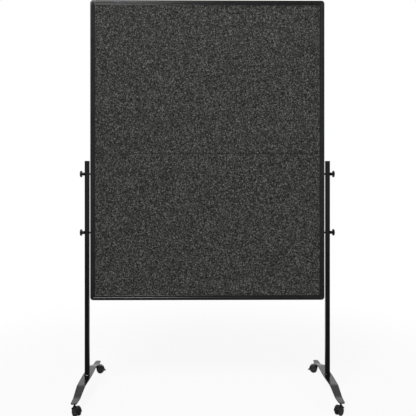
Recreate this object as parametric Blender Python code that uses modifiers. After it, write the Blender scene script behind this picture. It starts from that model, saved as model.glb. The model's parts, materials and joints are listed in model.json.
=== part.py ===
"""Mobile pinboard: a felt board that folds at mid height, on two posts with castor feet.

Metres, +Z up. The board faces -Y, the floor is z = 0, and the origin is the middle of the footprint.
Every length below is a driving dimension or follows from them.
"""

import math

import bmesh
import bpy
from mathutils import Matrix

MM = 0.001

# Fits and margins that every piece shares
TOUCH = 0.3 * MM  # gap between pieces that rest against each other
RUNNING = 0.35 * MM  # radial clearance of studs, pins, stems and axles
PLAY = 0.4 * MM  # clearance of a sliding or plugged piece in its channel
OVERRUN = 4.0 * MM  # how far a cutter runs past what it cuts
WELD = 0.001 * MM  # merge distance

# Board outline
BOARD_WIDTH = 1200.0 * MM
BOARD_BOTTOM = 471.5 * MM  # height of the lower edge above the floor
LOWER_HEIGHT = 750.0 * MM
UPPER_HEIGHT = 786.0 * MM
SEAM_GAP = 0.6 * MM  # between the two halves

# Panel: core board with a felt on each face
CORE_THICKNESS = 14.0 * MM
FELT_THICKNESS = 1.3 * MM
EDGE_STRIP = 1.2 * MM  # strip along the fold line

# Frame section, from the felt outwards: panel groove, wall, chamber, wall, nut slot, slot lips
PANEL_GROOVE = 6.0 * MM
RAIL_WALL = 1.5 * MM
CHAMBER_WIDTH = 7.0 * MM
CHAMBER_DEPTH = 16.6 * MM
NUT_SLOT_DEPTH = 7.0 * MM
NUT_SLOT_WIDTH = 13.0 * MM
NUT_MOUTH = 7.0 * MM
NUT_LIP = 2.0 * MM
RAIL_DEPTH = 22.0 * MM  # front to back
RAIL_LIP_FALL = 1.8 * MM  # how far the face falls back towards the felt
RAIL_LIP_RUN = 5.0 * MM  # width of that fall
RAIL_EDGE = 5.0 * MM  # radius of the outer edges

# Corner pieces
CORNER_RADIUS = 16.0 * MM
CORNER_REACH = 2.5 * MM  # how far they run past the felt's corner along each rail
TENON_LENGTH = 22.0 * MM
TENON_ROOT = 4.0 * MM  # inside the corner piece

# Fold hinges at the back of the side rails
LEAF_WIDTH = 16.0 * MM
LEAF_HEIGHT = 40.0 * MM
LEAF_THICKNESS = 2.0 * MM
KNUCKLE_RADIUS = 4.0 * MM
KNUCKLE_MIDDLE = 8.2 * MM
PIN_RADIUS = 2.0 * MM
PIN_INSET = 1.0 * MM  # pin's ends inside the end knuckles

# Lock bars inside the side rails
LOCK_LENGTH = 130.0 * MM
LOCK_SETBACK = 6.0 * MM  # top of the drawn bar below the fold line
LOCK_TRAVEL = 30.0 * MM
LOCK_BUTTON_DROP = 100.0 * MM  # button below the bar's top
LOCK_STUD_RADIUS = 2.25 * MM
LOCK_BUTTON_RADIUS = 5.0 * MM
LOCK_BUTTON_HEIGHT = 4.0 * MM

# Posts
POST_WIDTH = 23.5 * MM
POST_DEPTH = 25.0 * MM
POST_RADIUS = 6.0 * MM
POST_WALL = 1.6 * MM
POST_GAP = 5.0 * MM  # between the frame and the post
POST_BELOW_SEAM = 37.0 * MM
POST_PLUG = 18.0 * MM  # length of the closed lower end
POST_PLUG_RECESS = 0.5 * MM
CAP_HEAD = 3.0 * MM
CAP_EDGE = 1.2 * MM
CAP_PLUG = 16.0 * MM

# Clamps
KNOB_BELOW_TOP = 67.0 * MM  # upper knobs below the top of the posts
KNOB_SPACING = 300.0 * MM
STUD_RADIUS = 3.0 * MM
STUD_INSET = 1.0 * MM  # stud's tip from the bottom of the nut slot
KNOB_NECK_RADIUS = 8.0 * MM
KNOB_NECK_LENGTH = 14.5 * MM
KNOB_FLARE = 2.0 * MM
KNOB_HEAD_RADIUS = 17.0 * MM
KNOB_HEAD_LENGTH = 10.0 * MM
KNOB_RIM = 3.0 * MM  # below the dome
KNOB_EDGE_RISE = 1.0 * MM  # chamfer of the head's lower edge
KNOB_EDGE_RUN = 1.5 * MM
SPACER_RADIUS = 4.8 * MM
NUT_WIDTH = 12.0 * MM
NUT_HEIGHT = 20.0 * MM
NUT_THICKNESS = 5.4 * MM

# Feet: bent steel bars that narrow and step down towards their ends
FOOT_HALF = 289.0 * MM
FOOT_THICKNESS = 5.0 * MM
FOOT_CROWN_TOP = 87.0 * MM
FOOT_END_TOP = 62.5 * MM
FOOT_FLAT_HALF = 138.0 * MM  # half length of the level middle
FOOT_STEP_HALF = 226.0 * MM  # where the slope meets the level end
FOOT_EASE = 10.0 * MM  # rounding of the two bends
FOOT_CROWN_WIDTH = 47.5 * MM
FOOT_END_WIDTH = 28.0 * MM
FOOT_EDGE = 1.2 * MM  # rounding of the bar's long edges
FOOT_NOSE = 9.0 * MM  # rounding of the end in plan
LIP_WIDTH = 2.2 * MM  # raised lip round the foot of the post
LIP_HEIGHT = 4.5 * MM
LIP_EDGE = 1.2 * MM

# Foot bolts
BOLT_RADIUS = 4.0 * MM
BOLT_HEAD_RADIUS = 6.5 * MM
BOLT_HEAD_HEIGHT = 5.5 * MM
BOLT_REACH = 13.0 * MM  # into the post's closed end
BOLT_SOCKET_RADIUS = 3.4 * MM
BOLT_SOCKET_DEPTH = 3.5 * MM

# Castors
WHEEL_RADIUS = 20.0 * MM
WHEEL_WIDTH = 9.6 * MM
WHEEL_INNER = 4.6 * MM  # middle of the castor to a wheel's inner face
WHEEL_TREAD_EDGE = 1.6 * MM
WHEEL_RIM = 4.0 * MM
WHEEL_DISH = 1.8 * MM
WHEEL_HUB_RADIUS = 7.0 * MM
WHEEL_HUB_DROP = 0.9 * MM  # hub's face below the rim's
HUB_SKIN = 1.5 * MM  # closes the wheel's bore on the outer side
AXLE_RADIUS = 3.0 * MM
TRAIL = 15.0 * MM
HOOD_CLEARANCE = 0.9 * MM
HOOD_WALL = 3.1 * MM
HOOD_OVERHANG = 0.3 * MM
WEB_HALF = 4.0 * MM
BOSS_RADIUS = 8.0 * MM
BOSS_TOP = 41.5 * MM
BOSS_BOTTOM = 28.5 * MM
BOSS_CUT = 0.2 * MM  # how far the boss stays clear of the web's faces, and stands in from the hood
STEM_RADIUS = 4.0 * MM
STEM_PIN_RADIUS = 2.6 * MM  # its lower part, inside the castor
STEM_EDGE = 0.8 * MM
STEM_SKIN = 1.0 * MM  # of the foot above the stem's blind hole
STEM_SEAT = 10.0 * MM  # depth in the castor's boss
STEM_INSET = 24.0 * MM  # stem axis from the end of the foot
ARM_THICKNESS = 3.4 * MM
ARM_RING = 3.2 * MM
SHOE_HALF = 10.0 * MM
PEDAL_REACH = 6.5 * MM
PEDAL_HALF = 7.0 * MM

# Directions and shares
HOOD_START = 8.0  # degrees about the axle, 0 is the trailing side
HOOD_END = 150.0
SHOE_START = 3.5
SHOE_END = -18.0
PEDAL_START = -8.5
ARM_MARGIN = 2.0  # degrees by which the pedal's arm stays inside the shoe
TONGUE_MARGIN = 1.0  # the same for its tongue
RING_GAP = 60.0  # degrees from the pedal's shoe to where its arm meets the ring
FRONT_TRAIL = -45.0  # degrees from the inward direction, negative towards the front
REAR_TRAIL = 18.0
FOOT_SWELL_POWER = 1.5  # of the share of the foot's half length by which its width falls
FOOT_SPREAD_SHARES = (0.16, 0.33)  # of the foot's half length, places between the post and the bend
WEB_SHARES = ((-0.29, 1.5), (0.35, 0.62), (0.98, 0.46), (1.55, 0.7))  # of trail and wheel radius
DOME_SHARES = ((0.0, 1.0), (0.4, 0.95), (0.72, 0.78), (0.92, 0.5))  # of head radius and dome height

# Facets
ROUND_STEPS = 22
KNOB_STEPS = 18
SMALL_STEPS = 14
ARC_STEPS = 3
EDGE_ANGLE = 0.5  # radians between two faces that meet at a real edge

# Places that follow from the dimensions
RAIL_WIDTH = PANEL_GROOVE + CHAMBER_WIDTH + NUT_SLOT_DEPTH + NUT_LIP + 2 * RAIL_WALL
HALF_BOARD = BOARD_WIDTH / 2
OPENING_HALF = HALF_BOARD - RAIL_WIDTH
SEAM_Z = BOARD_BOTTOM + LOWER_HEIGHT
CHAMBER_START = PANEL_GROOVE + RAIL_WALL
SLOT_OUTER = RAIL_WIDTH - NUT_LIP
SLOT_INNER = SLOT_OUTER - NUT_SLOT_DEPTH
RAIL_BACK = RAIL_DEPTH / 2
PANEL_BACK = CORE_THICKNESS / 2 + TOUCH + FELT_THICKNESS
FOLD_Y = RAIL_BACK + KNUCKLE_RADIUS + PLAY
POST_X = HALF_BOARD + POST_GAP + POST_WIDTH / 2
POST_TOP = SEAM_Z - POST_BELOW_SEAM
POST_BOTTOM = FOOT_CROWN_TOP + TOUCH
TUBE_TOP = POST_TOP - CAP_HEAD - TOUCH
KNOB_HEIGHTS = (POST_TOP - KNOB_BELOW_TOP, POST_TOP - KNOB_BELOW_TOP - KNOB_SPACING)
KNOB_FACE = POST_X + POST_WIDTH / 2 + TOUCH
STEM_Y = FOOT_HALF - STEM_INSET
FOOT_UNDER = FOOT_CROWN_TOP - FOOT_THICKNESS
STEM_TOP = FOOT_END_TOP - STEM_SKIN - TOUCH
HOOD_INNER = WHEEL_RADIUS + HOOD_CLEARANCE
HOOD_OUTER = HOOD_INNER + HOOD_WALL
HOOD_HALF = WHEEL_INNER + WHEEL_WIDTH + HOOD_OVERHANG
STEM_BOTTOM = BOSS_TOP - STEM_SEAT + TOUCH

# Local axes of a flat outline that stands up: outline x is X, outline y is Z, its depth is along Y
UPRIGHT = Matrix(((1, 0, 0, 0), (0, 0, -1, 0), (0, 1, 0, 0), (0, 0, 0, 1)))

SIDES = {"left": -1, "right": 1}
ENDS = {"front": -1, "rear": 1}


def clear_scene():
    for obj in list(bpy.data.objects):
        bpy.data.objects.remove(obj)


def new_collection(name):
    collection = bpy.data.collections.new(name)
    bpy.context.scene.collection.children.link(collection)
    return collection


def new_material(name, colour, roughness, metallic=0.0):
    material = bpy.data.materials.new(name)
    material.use_nodes = True
    shader = material.node_tree.nodes["Principled BSDF"]
    shader.inputs["Base Color"].default_value = (*colour, 1.0)
    shader.inputs["Roughness"].default_value = roughness
    shader.inputs["Metallic"].default_value = metallic
    material.diffuse_color = (*colour, 1.0)
    return material


clear_scene()
PARTS = new_collection("mobile_pinboard")
CUTTERS = new_collection("cutters")

FELT = new_material("felt", (0.048, 0.049, 0.046), 0.95)
CORE = new_material("core_board", (0.16, 0.13, 0.10), 0.9)
FRAME = new_material("frame_paint", (0.024, 0.024, 0.026), 0.45, 0.2)
CORNER = new_material("corner_plastic", (0.02, 0.02, 0.021), 0.5)
PAINT = new_material("stand_paint", (0.016, 0.016, 0.017), 0.35, 0.1)
PLASTIC = new_material("black_plastic", (0.013, 0.013, 0.014), 0.45)
WHEEL = new_material("wheel_plastic", (0.02, 0.02, 0.021), 0.5)
STEEL = new_material("blackened_steel", (0.06, 0.06, 0.065), 0.35, 0.9)
ZINC = new_material("zinc_steel", (0.45, 0.45, 0.46), 0.35, 1.0)


# Meshes


def mesh_from(bm, name):
    bmesh.ops.recalc_face_normals(bm, faces=bm.faces)
    mesh = bpy.data.meshes.new(name)
    bm.to_mesh(mesh)
    bm.free()
    return mesh


def box_mesh(name, low, high):
    """A box from its lowest to its highest corner."""
    size = [b - a for a, b in zip(low, high)]
    middle = [(a + b) / 2 for a, b in zip(low, high)]
    bm = bmesh.new()
    bmesh.ops.create_cube(bm, size=1.0, matrix=Matrix.Translation(middle) @ Matrix.Diagonal((*size, 1.0)))
    return mesh_from(bm, name)


def rod_mesh(name, radius, start, end, axis, centre, segments=SMALL_STEPS):
    """A cylinder along one world axis, from start to end on it, through centre on the other two."""
    turn = {"X": Matrix.Rotation(math.pi / 2, 4, "Y"), "Y": Matrix.Rotation(math.pi / 2, 4, "X"),
            "Z": Matrix.Identity(4)}[axis]
    place = list(centre)
    place["XYZ".index(axis)] = (start + end) / 2
    bm = bmesh.new()
    bmesh.ops.create_cone(bm, cap_ends=True, segments=segments, radius1=radius, radius2=radius,
                          depth=abs(end - start), matrix=Matrix.Translation(place) @ turn)
    return mesh_from(bm, name)


def group_mesh(name, meshes):
    """Several separate solids in one mesh."""
    bm = bmesh.new()
    for mesh in meshes:
        bm.from_mesh(mesh)
        bpy.data.meshes.remove(mesh)
    return mesh_from(bm, name)


def prism_mesh(name, outlines, low, high, frame=None):
    """A flat outline, the first one, less any holes, extruded along its own Z from low to high."""
    curve = bpy.data.curves.new(name, "CURVE")
    curve.dimensions = "2D"
    curve.fill_mode = "BOTH"
    curve.extrude = (high - low) / 2
    for outline in outlines:
        spline = curve.splines.new("POLY")
        spline.points.add(len(outline) - 1)
        for point, (x, y) in zip(spline.points, outline):
            point.co = (x, y, 0.0, 1.0)
        spline.use_cyclic_u = True
    guide = bpy.data.objects.new(name, curve)
    CUTTERS.objects.link(guide)
    flat = bpy.data.meshes.new_from_object(guide.evaluated_get(bpy.context.evaluated_depsgraph_get()))
    bpy.data.objects.remove(guide)
    bpy.data.curves.remove(curve)
    bm = bmesh.new()
    bm.from_mesh(flat)
    bpy.data.meshes.remove(flat)
    bmesh.ops.remove_doubles(bm, verts=bm.verts, dist=WELD)
    bmesh.ops.translate(bm, verts=bm.verts, vec=(0.0, 0.0, (low + high) / 2))
    if frame is not None:
        bmesh.ops.transform(bm, matrix=frame, verts=bm.verts)
    return mesh_from(bm, name)


def loft_mesh(name, rings):
    """A closed body through rings of equally many points."""
    bm = bmesh.new()
    loops = [[bm.verts.new(point) for point in ring] for ring in rings]
    for near, far in zip(loops, loops[1:]):
        for i in range(len(near)):
            j = (i + 1) % len(near)
            bm.faces.new((near[i], near[j], far[j], far[i]))
    bm.faces.new(loops[0])
    bm.faces.new(loops[-1])
    return mesh_from(bm, name)


# Outlines


def arc(centre, radii, start, end, steps=ARC_STEPS):
    """Points of an elliptic arc, start and end in degrees."""
    points = []
    for step in range(steps + 1):
        angle = math.radians(start + (end - start) * step / steps)
        points.append((centre[0] + radii[0] * math.cos(angle), centre[1] + radii[1] * math.sin(angle)))
    return points


def rectangle(low, high):
    return [low, (high[0], low[1]), high, (low[0], high[1])]


def rounded_rectangle(width, depth, radius, steps=ARC_STEPS):
    x = width / 2 - radius
    y = depth / 2 - radius
    radii = (radius, radius)
    return (arc((x, y), radii, 0, 90, steps) + arc((-x, y), radii, 90, 180, steps)
            + arc((-x, -y), radii, 180, 270, steps) + arc((x, -y), radii, 270, 360, steps))


def eased(points, reach, steps=ARC_STEPS):
    """A polyline whose inner corners are rounded over reach on each side."""
    path = [points[0]]
    for before, corner, after in zip(points, points[1:], points[2:]):
        ends = []
        for other in (before, after):
            share = reach / math.dist(corner, other)
            ends.append([c + (o - c) * share for c, o in zip(corner, other)])
        for step in range(steps + 1):
            t = step / steps
            path.append(tuple((1 - t) ** 2 * a + 2 * t * (1 - t) * c + t * t * b
                              for a, c, b in zip(ends[0], corner, ends[1])))
    path.append(points[-1])
    return path


# Objects


def new_empty(name, place, parent=None, turn=0.0):
    """A body's frame, on its joint's axis; turn is in degrees about Z."""
    empty = bpy.data.objects.new(name, None)
    PARTS.objects.link(empty)
    empty["place"] = place
    empty.parent = parent
    offset = parent["place"] if parent else (0.0, 0.0, 0.0)
    empty.location = [a - b for a, b in zip(place, offset)]
    empty.rotation_euler = (0.0, 0.0, math.radians(turn))
    return empty


def new_part(name, mesh, material, body, place=(0.0, 0.0, 0.0), rotation=(0.0, 0.0, 0.0), local=False):
    """A node of the object. place is in world axes from the origin, or, if local, in the body's own."""
    obj = bpy.data.objects.new(name, mesh)
    PARTS.objects.link(obj)
    obj.data.materials.clear()
    obj.data.materials.append(material)
    obj.parent = body
    obj.location = place if local else [a - b for a, b in zip(place, body["place"])]
    obj.rotation_euler = rotation
    if len(mesh.polygons):
        mesh.shade_smooth()
        mesh.set_sharp_from_angle(angle=EDGE_ANGLE)
    return obj


def shape(target, mesh, operation="DIFFERENCE", place=(0.0, 0.0, 0.0), local=False):
    """Cut a mesh from a part, or join it on, with a Boolean whose cutter keeps to the part's body."""
    cutter = bpy.data.objects.new(mesh.name, mesh)
    CUTTERS.objects.link(cutter)
    cutter.hide_render = True
    cutter.display_type = "WIRE"
    cutter.parent = target.parent
    cutter.location = place if local else [a - b for a, b in zip(place, target.parent["place"])]
    boolean = target.modifiers.new(mesh.name, "BOOLEAN")
    boolean.operation = operation
    boolean.solver = "EXACT"
    boolean.object = cutter
    return cutter


def turned_part(name, profile, material, body, segments, **placing):
    """A profile of radius and height, turned about its own Z; its outer side runs from top to bottom."""
    mesh = bpy.data.meshes.new(name)
    edges = [(i, i + 1) for i in range(len(profile) - 1)]
    mesh.from_pydata([(radius, 0.0, height) for radius, height in profile], edges, [])
    obj = new_part(name, mesh, material, body, **placing)
    screw = obj.modifiers.new("turn", "SCREW")
    screw.steps = segments
    screw.render_steps = segments
    screw.use_merge_vertices = True
    screw.merge_threshold = WELD
    screw.use_smooth_shade = True
    return obj


# Board frame


def rail_section():
    """Outline of the frame section and its inner chamber: x runs outwards from the felt, y is depth."""
    lip = RAIL_BACK - RAIL_LIP_FALL
    groove = CORE_THICKNESS / 2 + RUNNING
    mouth = NUT_MOUTH / 2
    slot = NUT_SLOT_WIDTH / 2
    front = [(PANEL_GROOVE, -groove), (0.0, -groove)]
    front += arc((RAIL_LIP_RUN, -lip), (RAIL_LIP_RUN, RAIL_LIP_FALL), 180, 270, steps=3)
    front += arc((RAIL_WIDTH - RAIL_EDGE, RAIL_EDGE - RAIL_BACK), (RAIL_EDGE, RAIL_EDGE), 270, 360, steps=4)
    front += [(RAIL_WIDTH, -mouth), (SLOT_OUTER, -mouth), (SLOT_OUTER, -slot), (SLOT_INNER, -slot)]
    back = [(x, -y) for x, y in reversed(front)]
    chamber = rectangle((CHAMBER_START, -CHAMBER_DEPTH / 2),
                        (CHAMBER_START + CHAMBER_WIDTH, CHAMBER_DEPTH / 2))
    return [front + back, chamber]


def side_rail(name, side, body, sign, height):
    """A side rail of one half: sign is -1 below the fold line and 1 above it."""
    length = height - SEAM_GAP / 2 - RAIL_WIDTH - CORNER_REACH - TOUCH
    start = SEAM_GAP / 2 if sign > 0 else -SEAM_GAP / 2 - length
    mesh = prism_mesh(name, rail_section(), 0.0, length)
    turn = 0.0 if side > 0 else math.pi
    return new_part(name, mesh, FRAME, body, (side * OPENING_HALF, 0.0, SEAM_Z + start), (0.0, 0.0, turn))


def end_rail(name, body, sign, height):
    """The bottom rail, sign -1, or the top rail, sign 1."""
    half = OPENING_HALF - CORNER_REACH - TOUCH
    mesh = prism_mesh(name, rail_section(), -half, half)
    inner = SEAM_Z + sign * (height - RAIL_WIDTH)
    return new_part(name, mesh, FRAME, body, (0.0, 0.0, inner), (0.0, -sign * math.pi / 2, 0.0))


def corner_piece(name, side, body, sign, height):
    """A moulded corner with one tenon in each rail's chamber."""
    outer = RAIL_WIDTH - CORNER_RADIUS
    outline = [(RAIL_WIDTH, -CORNER_REACH)]
    outline += arc((outer, outer), (CORNER_RADIUS, CORNER_RADIUS), 0, 90, steps=6)
    outline += [(-CORNER_REACH, RAIL_WIDTH), (-CORNER_REACH, 0.0), (0.0, -CORNER_REACH)]
    frame = UPRIGHT @ Matrix.Diagonal((side, sign, 1.0, 1.0))
    bm = bmesh.new()
    flat = prism_mesh(name, [outline], -RAIL_BACK, RAIL_BACK)
    bm.from_mesh(flat)
    bpy.data.meshes.remove(flat)
    rim = []
    for edge in bm.edges:
        flat_edge = abs(edge.verts[0].co.z - edge.verts[1].co.z) < WELD
        outside = all(is_outer_corner_point(vert.co, outer) for vert in edge.verts)
        if flat_edge and outside and len(edge.link_faces) == 2 and edge.calc_face_angle() > EDGE_ANGLE:
            rim.append(edge)
    bmesh.ops.bevel(bm, geom=rim, offset=RAIL_EDGE, segments=3, profile=0.5, affect="EDGES")
    bmesh.ops.transform(bm, matrix=frame, verts=bm.verts)
    place = (side * OPENING_HALF, 0.0, SEAM_Z + sign * (height - RAIL_WIDTH))
    corner = new_part(name, mesh_from(bm, name), CORNER, body, place)
    near = CHAMBER_START + PLAY
    far = CHAMBER_START + CHAMBER_WIDTH - PLAY
    end = CORNER_REACH + TENON_LENGTH
    depth = CHAMBER_DEPTH / 2 - PLAY
    spots = (rectangle((near, -end), (far, TENON_ROOT)), rectangle((-end, near), (TENON_ROOT, far)))
    for number, spot in enumerate(spots):
        shape(corner, prism_mesh(f"{name}_tenon_{number}", [spot], -depth, depth, frame), "UNION", place)
    return corner


def is_outer_corner_point(point, outer):
    on_side = abs(point.x - RAIL_WIDTH) < WELD or abs(point.y - RAIL_WIDTH) < WELD
    on_arc = abs(math.hypot(point.x - outer, point.y - outer) - CORNER_RADIUS) < WELD
    return on_side or (on_arc and point.x > outer - WELD and point.y > outer - WELD)


# Board panels


def panel_mesh(name, sign, near, far, half_width, chamfer, low, high):
    """A sheet of one half from near to far of the fold line, its far corners cut; low and high are Y."""
    outline = [(-half_width, sign * near), (half_width, sign * near), (half_width, sign * (far - chamfer)),
               (half_width - chamfer, sign * far), (chamfer - half_width, sign * far),
               (-half_width, sign * (far - chamfer))]
    return prism_mesh(name, [outline], -high, -low, UPRIGHT)


def panel(half, body, sign, height):
    near = SEAM_GAP / 2 + EDGE_STRIP + TOUCH
    seam = (0.0, 0.0, SEAM_Z)
    corner_cut = CORNER_REACH + 2 * TOUCH
    core_reach = PANEL_GROOVE - PLAY
    far = height - RAIL_WIDTH
    core = panel_mesh(f"{half}_core", sign, near, far + core_reach, OPENING_HALF + core_reach,
                      corner_cut + 2 * core_reach, -CORE_THICKNESS / 2, CORE_THICKNESS / 2)
    new_part(f"{half}_core", core, CORE, body, seam)
    inside = PANEL_BACK - FELT_THICKNESS
    for face, low, high in (("front", -PANEL_BACK, -inside), ("back", inside, PANEL_BACK)):
        felt = panel_mesh(f"{half}_{face}_felt", sign, near, far - TOUCH, OPENING_HALF - TOUCH,
                          corner_cut, low, high)
        new_part(f"{half}_{face}_felt", felt, FELT, body, seam)
    inner, outer = sorted((sign * SEAM_GAP / 2, sign * (SEAM_GAP / 2 + EDGE_STRIP)))
    strip = box_mesh(f"{half}_edge_strip", (TOUCH - OPENING_HALF, -PANEL_BACK, inner),
                     (OPENING_HALF - TOUCH, PANEL_BACK, outer))
    new_part(f"{half}_edge_strip", strip, FRAME, body, seam)


# Fold hinges and lock bars


def fold_rods(name, radius, spans):
    """Rods on the fold axis, one for each span from the hinge's middle."""
    return group_mesh(name, [rod_mesh(name, radius, start, end, "X", (0.0, FOLD_Y, 0.0))
                             for start, end in spans])


def hinge_leaf(name, side, body, sign):
    """A leaf of one half: a lower one has the end knuckles and the pin, an upper one the middle knuckle."""
    half = LEAF_WIDTH / 2
    inner = RAIL_BACK + TOUCH
    low, high = sorted((0.0, sign * LEAF_HEIGHT))
    place = (side * (OPENING_HALF + RAIL_WIDTH / 2), 0.0, SEAM_Z)
    plate = box_mesh(name, (-half, inner, low), (half, inner + LEAF_THICKNESS, high))
    leaf = new_part(name, plate, FRAME, body, place)
    middle_half = KNUCKLE_MIDDLE / 2
    end_start = middle_half + PLAY
    if sign < 0:
        own = ((-half, -end_start), (end_start, half))
        cleared = ((-end_start, end_start),)
    else:
        own = ((-middle_half, middle_half),)
        cleared = ((-half - OVERRUN, -middle_half), (middle_half, half + OVERRUN))
    shape(leaf, fold_rods(f"{name}_clearance", KNUCKLE_RADIUS + PLAY, cleared), place=place)
    shape(leaf, fold_rods(f"{name}_knuckles", KNUCKLE_RADIUS, own), "UNION", place)
    if sign < 0:
        shape(leaf, fold_rods(f"{name}_pin", PIN_RADIUS, ((PIN_INSET - half, half - PIN_INSET),)),
              "UNION", place)
    else:
        bore = ((-half - OVERRUN, half + OVERRUN),)
        shape(leaf, fold_rods(f"{name}_bore", PIN_RADIUS + RUNNING, bore), place=place)
    return leaf


def lock_bar(name, side, body):
    """A flat bar in the side rail's chamber, with a button that reaches out through the rail's back."""
    x = side * (OPENING_HALF + CHAMBER_START + CHAMBER_WIDTH / 2)
    top = SEAM_Z - LOCK_SETBACK
    half = CHAMBER_WIDTH / 2 - PLAY
    depth = CHAMBER_DEPTH / 2 - PLAY
    bar = new_part(name, box_mesh(name, (-half, -depth, -LOCK_LENGTH), (half, depth, 0.0)), STEEL, body,
                   (x, 0.0, top))
    button = (x, 0.0, top - LOCK_BUTTON_DROP)
    seat = RAIL_BACK + PLAY
    shape(bar, rod_mesh(f"{name}_stud", LOCK_STUD_RADIUS, 0.0, seat + LOCK_BUTTON_HEIGHT / 2, "Y",
                        (0.0, 0.0, 0.0)), "UNION", button)
    shape(bar, rod_mesh(f"{name}_button", LOCK_BUTTON_RADIUS, seat, seat + LOCK_BUTTON_HEIGHT, "Y",
                        (0.0, 0.0, 0.0)), "UNION", button)
    return bar


def cut_lock_slot(rail, side):
    """The slot in the rail's back in which the button's stud travels."""
    x = side * (OPENING_HALF + CHAMBER_START + CHAMBER_WIDTH / 2)
    half = LOCK_STUD_RADIUS + PLAY
    start = SEAM_Z - LOCK_SETBACK - LOCK_BUTTON_DROP
    slot = box_mesh(f"{rail.name}_slot", (-half, 0.0, -half), (half, RAIL_BACK + OVERRUN, LOCK_TRAVEL + half))
    shape(rail, slot, place=(x, 0.0, start))


# Stand


def post(name, side, body):
    """A rounded tube, closed and threaded below, with cross holes for the clamp studs."""
    inner = (POST_WIDTH - 2 * POST_WALL, POST_DEPTH - 2 * POST_WALL, POST_RADIUS - POST_WALL)
    outlines = [rounded_rectangle(POST_WIDTH, POST_DEPTH, POST_RADIUS), rounded_rectangle(*inner)]
    place = (side * POST_X, 0.0, POST_BOTTOM)
    tube = new_part(name, prism_mesh(name, outlines, 0.0, TUBE_TOP - POST_BOTTOM), PAINT, body, place)
    plug = (POST_WIDTH - POST_WALL, POST_DEPTH - POST_WALL, POST_RADIUS - POST_WALL / 2)
    shape(tube, prism_mesh(f"{name}_closed_end", [rounded_rectangle(*plug)], POST_PLUG_RECESS,
                           POST_PLUG), "UNION", place)
    shape(tube, rod_mesh(f"{name}_thread", BOLT_RADIUS + RUNNING, -OVERRUN, BOLT_REACH + TOUCH, "Z",
                         (0.0, 0.0, 0.0)), place=place)
    face = POST_WIDTH / 2
    spacers = []
    holes = []
    for height in KNOB_HEIGHTS:
        axis = (0.0, 0.0, height - POST_BOTTOM)
        spacers.append(rod_mesh(name, SPACER_RADIUS, side * (POST_WALL / 2 - face),
                                side * (TOUCH - POST_GAP - face), "X", axis))
        holes.append(rod_mesh(name, STUD_RADIUS + RUNNING, -POST_GAP - face - OVERRUN,
                              POST_GAP + face + OVERRUN, "X", axis))
    shape(tube, group_mesh(f"{name}_spacers", spacers), "UNION", place)
    shape(tube, group_mesh(f"{name}_stud_holes", holes), place=place)
    return tube


def post_cap(name, side, body):
    place = (side * POST_X, 0.0, TUBE_TOP + TOUCH)
    head = prism_mesh(name, [rounded_rectangle(POST_WIDTH, POST_DEPTH, POST_RADIUS)], 0.0, CAP_HEAD)
    bm = bmesh.new()
    bm.from_mesh(head)
    bpy.data.meshes.remove(head)
    rim = [edge for edge in bm.edges if all(vert.co.z > CAP_HEAD - WELD for vert in edge.verts)
           and edge.calc_face_angle() > EDGE_ANGLE]
    bmesh.ops.bevel(bm, geom=rim, offset=CAP_EDGE, segments=2, profile=0.5, affect="EDGES")
    cap = new_part(name, mesh_from(bm, name), PLASTIC, body, place)
    inset = 2 * (POST_WALL + PLAY)
    plug = rounded_rectangle(POST_WIDTH - inset, POST_DEPTH - inset, POST_RADIUS - POST_WALL - PLAY)
    shape(cap, prism_mesh(f"{name}_plug", [plug], -CAP_PLUG, CAP_HEAD / 2), "UNION", place)
    return cap


def foot_path():
    """The top of half a foot, from the post to the end: distance from the post and height."""
    return eased([(0.0, FOOT_CROWN_TOP), (FOOT_FLAT_HALF, FOOT_CROWN_TOP), (FOOT_STEP_HALF, FOOT_END_TOP),
                  (FOOT_HALF, FOOT_END_TOP)], FOOT_EASE)


def foot_half_width(y):
    swell = 1.0 - (y / FOOT_HALF) ** FOOT_SWELL_POWER
    return (FOOT_END_WIDTH + (FOOT_CROWN_WIDTH - FOOT_END_WIDTH) * swell) / 2


def foot_ring(end, y, top, squeeze=0.0):
    """Section of the bar at a distance y from the post, its long edges rounded."""
    outline = rounded_rectangle(2 * (foot_half_width(y) - squeeze), FOOT_THICKNESS, FOOT_EDGE, steps=2)
    return [(x, end * y, top + z - FOOT_THICKNESS / 2) for x, z in outline]


def foot_sections(end):
    """Sections from the post to one end: the widening middle, both bends and the rounded nose."""
    path = foot_path()
    spread = [(FOOT_HALF * share, FOOT_CROWN_TOP) for share in FOOT_SPREAD_SHARES]
    sections = [foot_ring(end, y, top) for y, top in path[:1] + spread + path[1:-1]]
    start = FOOT_HALF - FOOT_NOSE
    for back, forward in arc((0.0, 0.0), (FOOT_NOSE, FOOT_NOSE), 0, 90):
        sections.append(foot_ring(end, start + forward, FOOT_END_TOP, FOOT_NOSE - back))
    return sections


def foot_lip(name):
    """The lip that the post stands in, with a chamfered upper edge."""
    bottom = FOOT_CROWN_TOP - FOOT_THICKNESS / 2
    top = FOOT_CROWN_TOP + LIP_HEIGHT
    rings = []
    for grow, height in ((LIP_WIDTH, bottom), (LIP_WIDTH, top - LIP_EDGE), (LIP_WIDTH - LIP_EDGE, top)):
        reach = TOUCH + grow
        outline = rounded_rectangle(POST_WIDTH + 2 * reach, POST_DEPTH + 2 * reach, POST_RADIUS + reach)
        rings.append([(x, y, height) for x, y in outline])
    return loft_mesh(name, rings)


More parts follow.
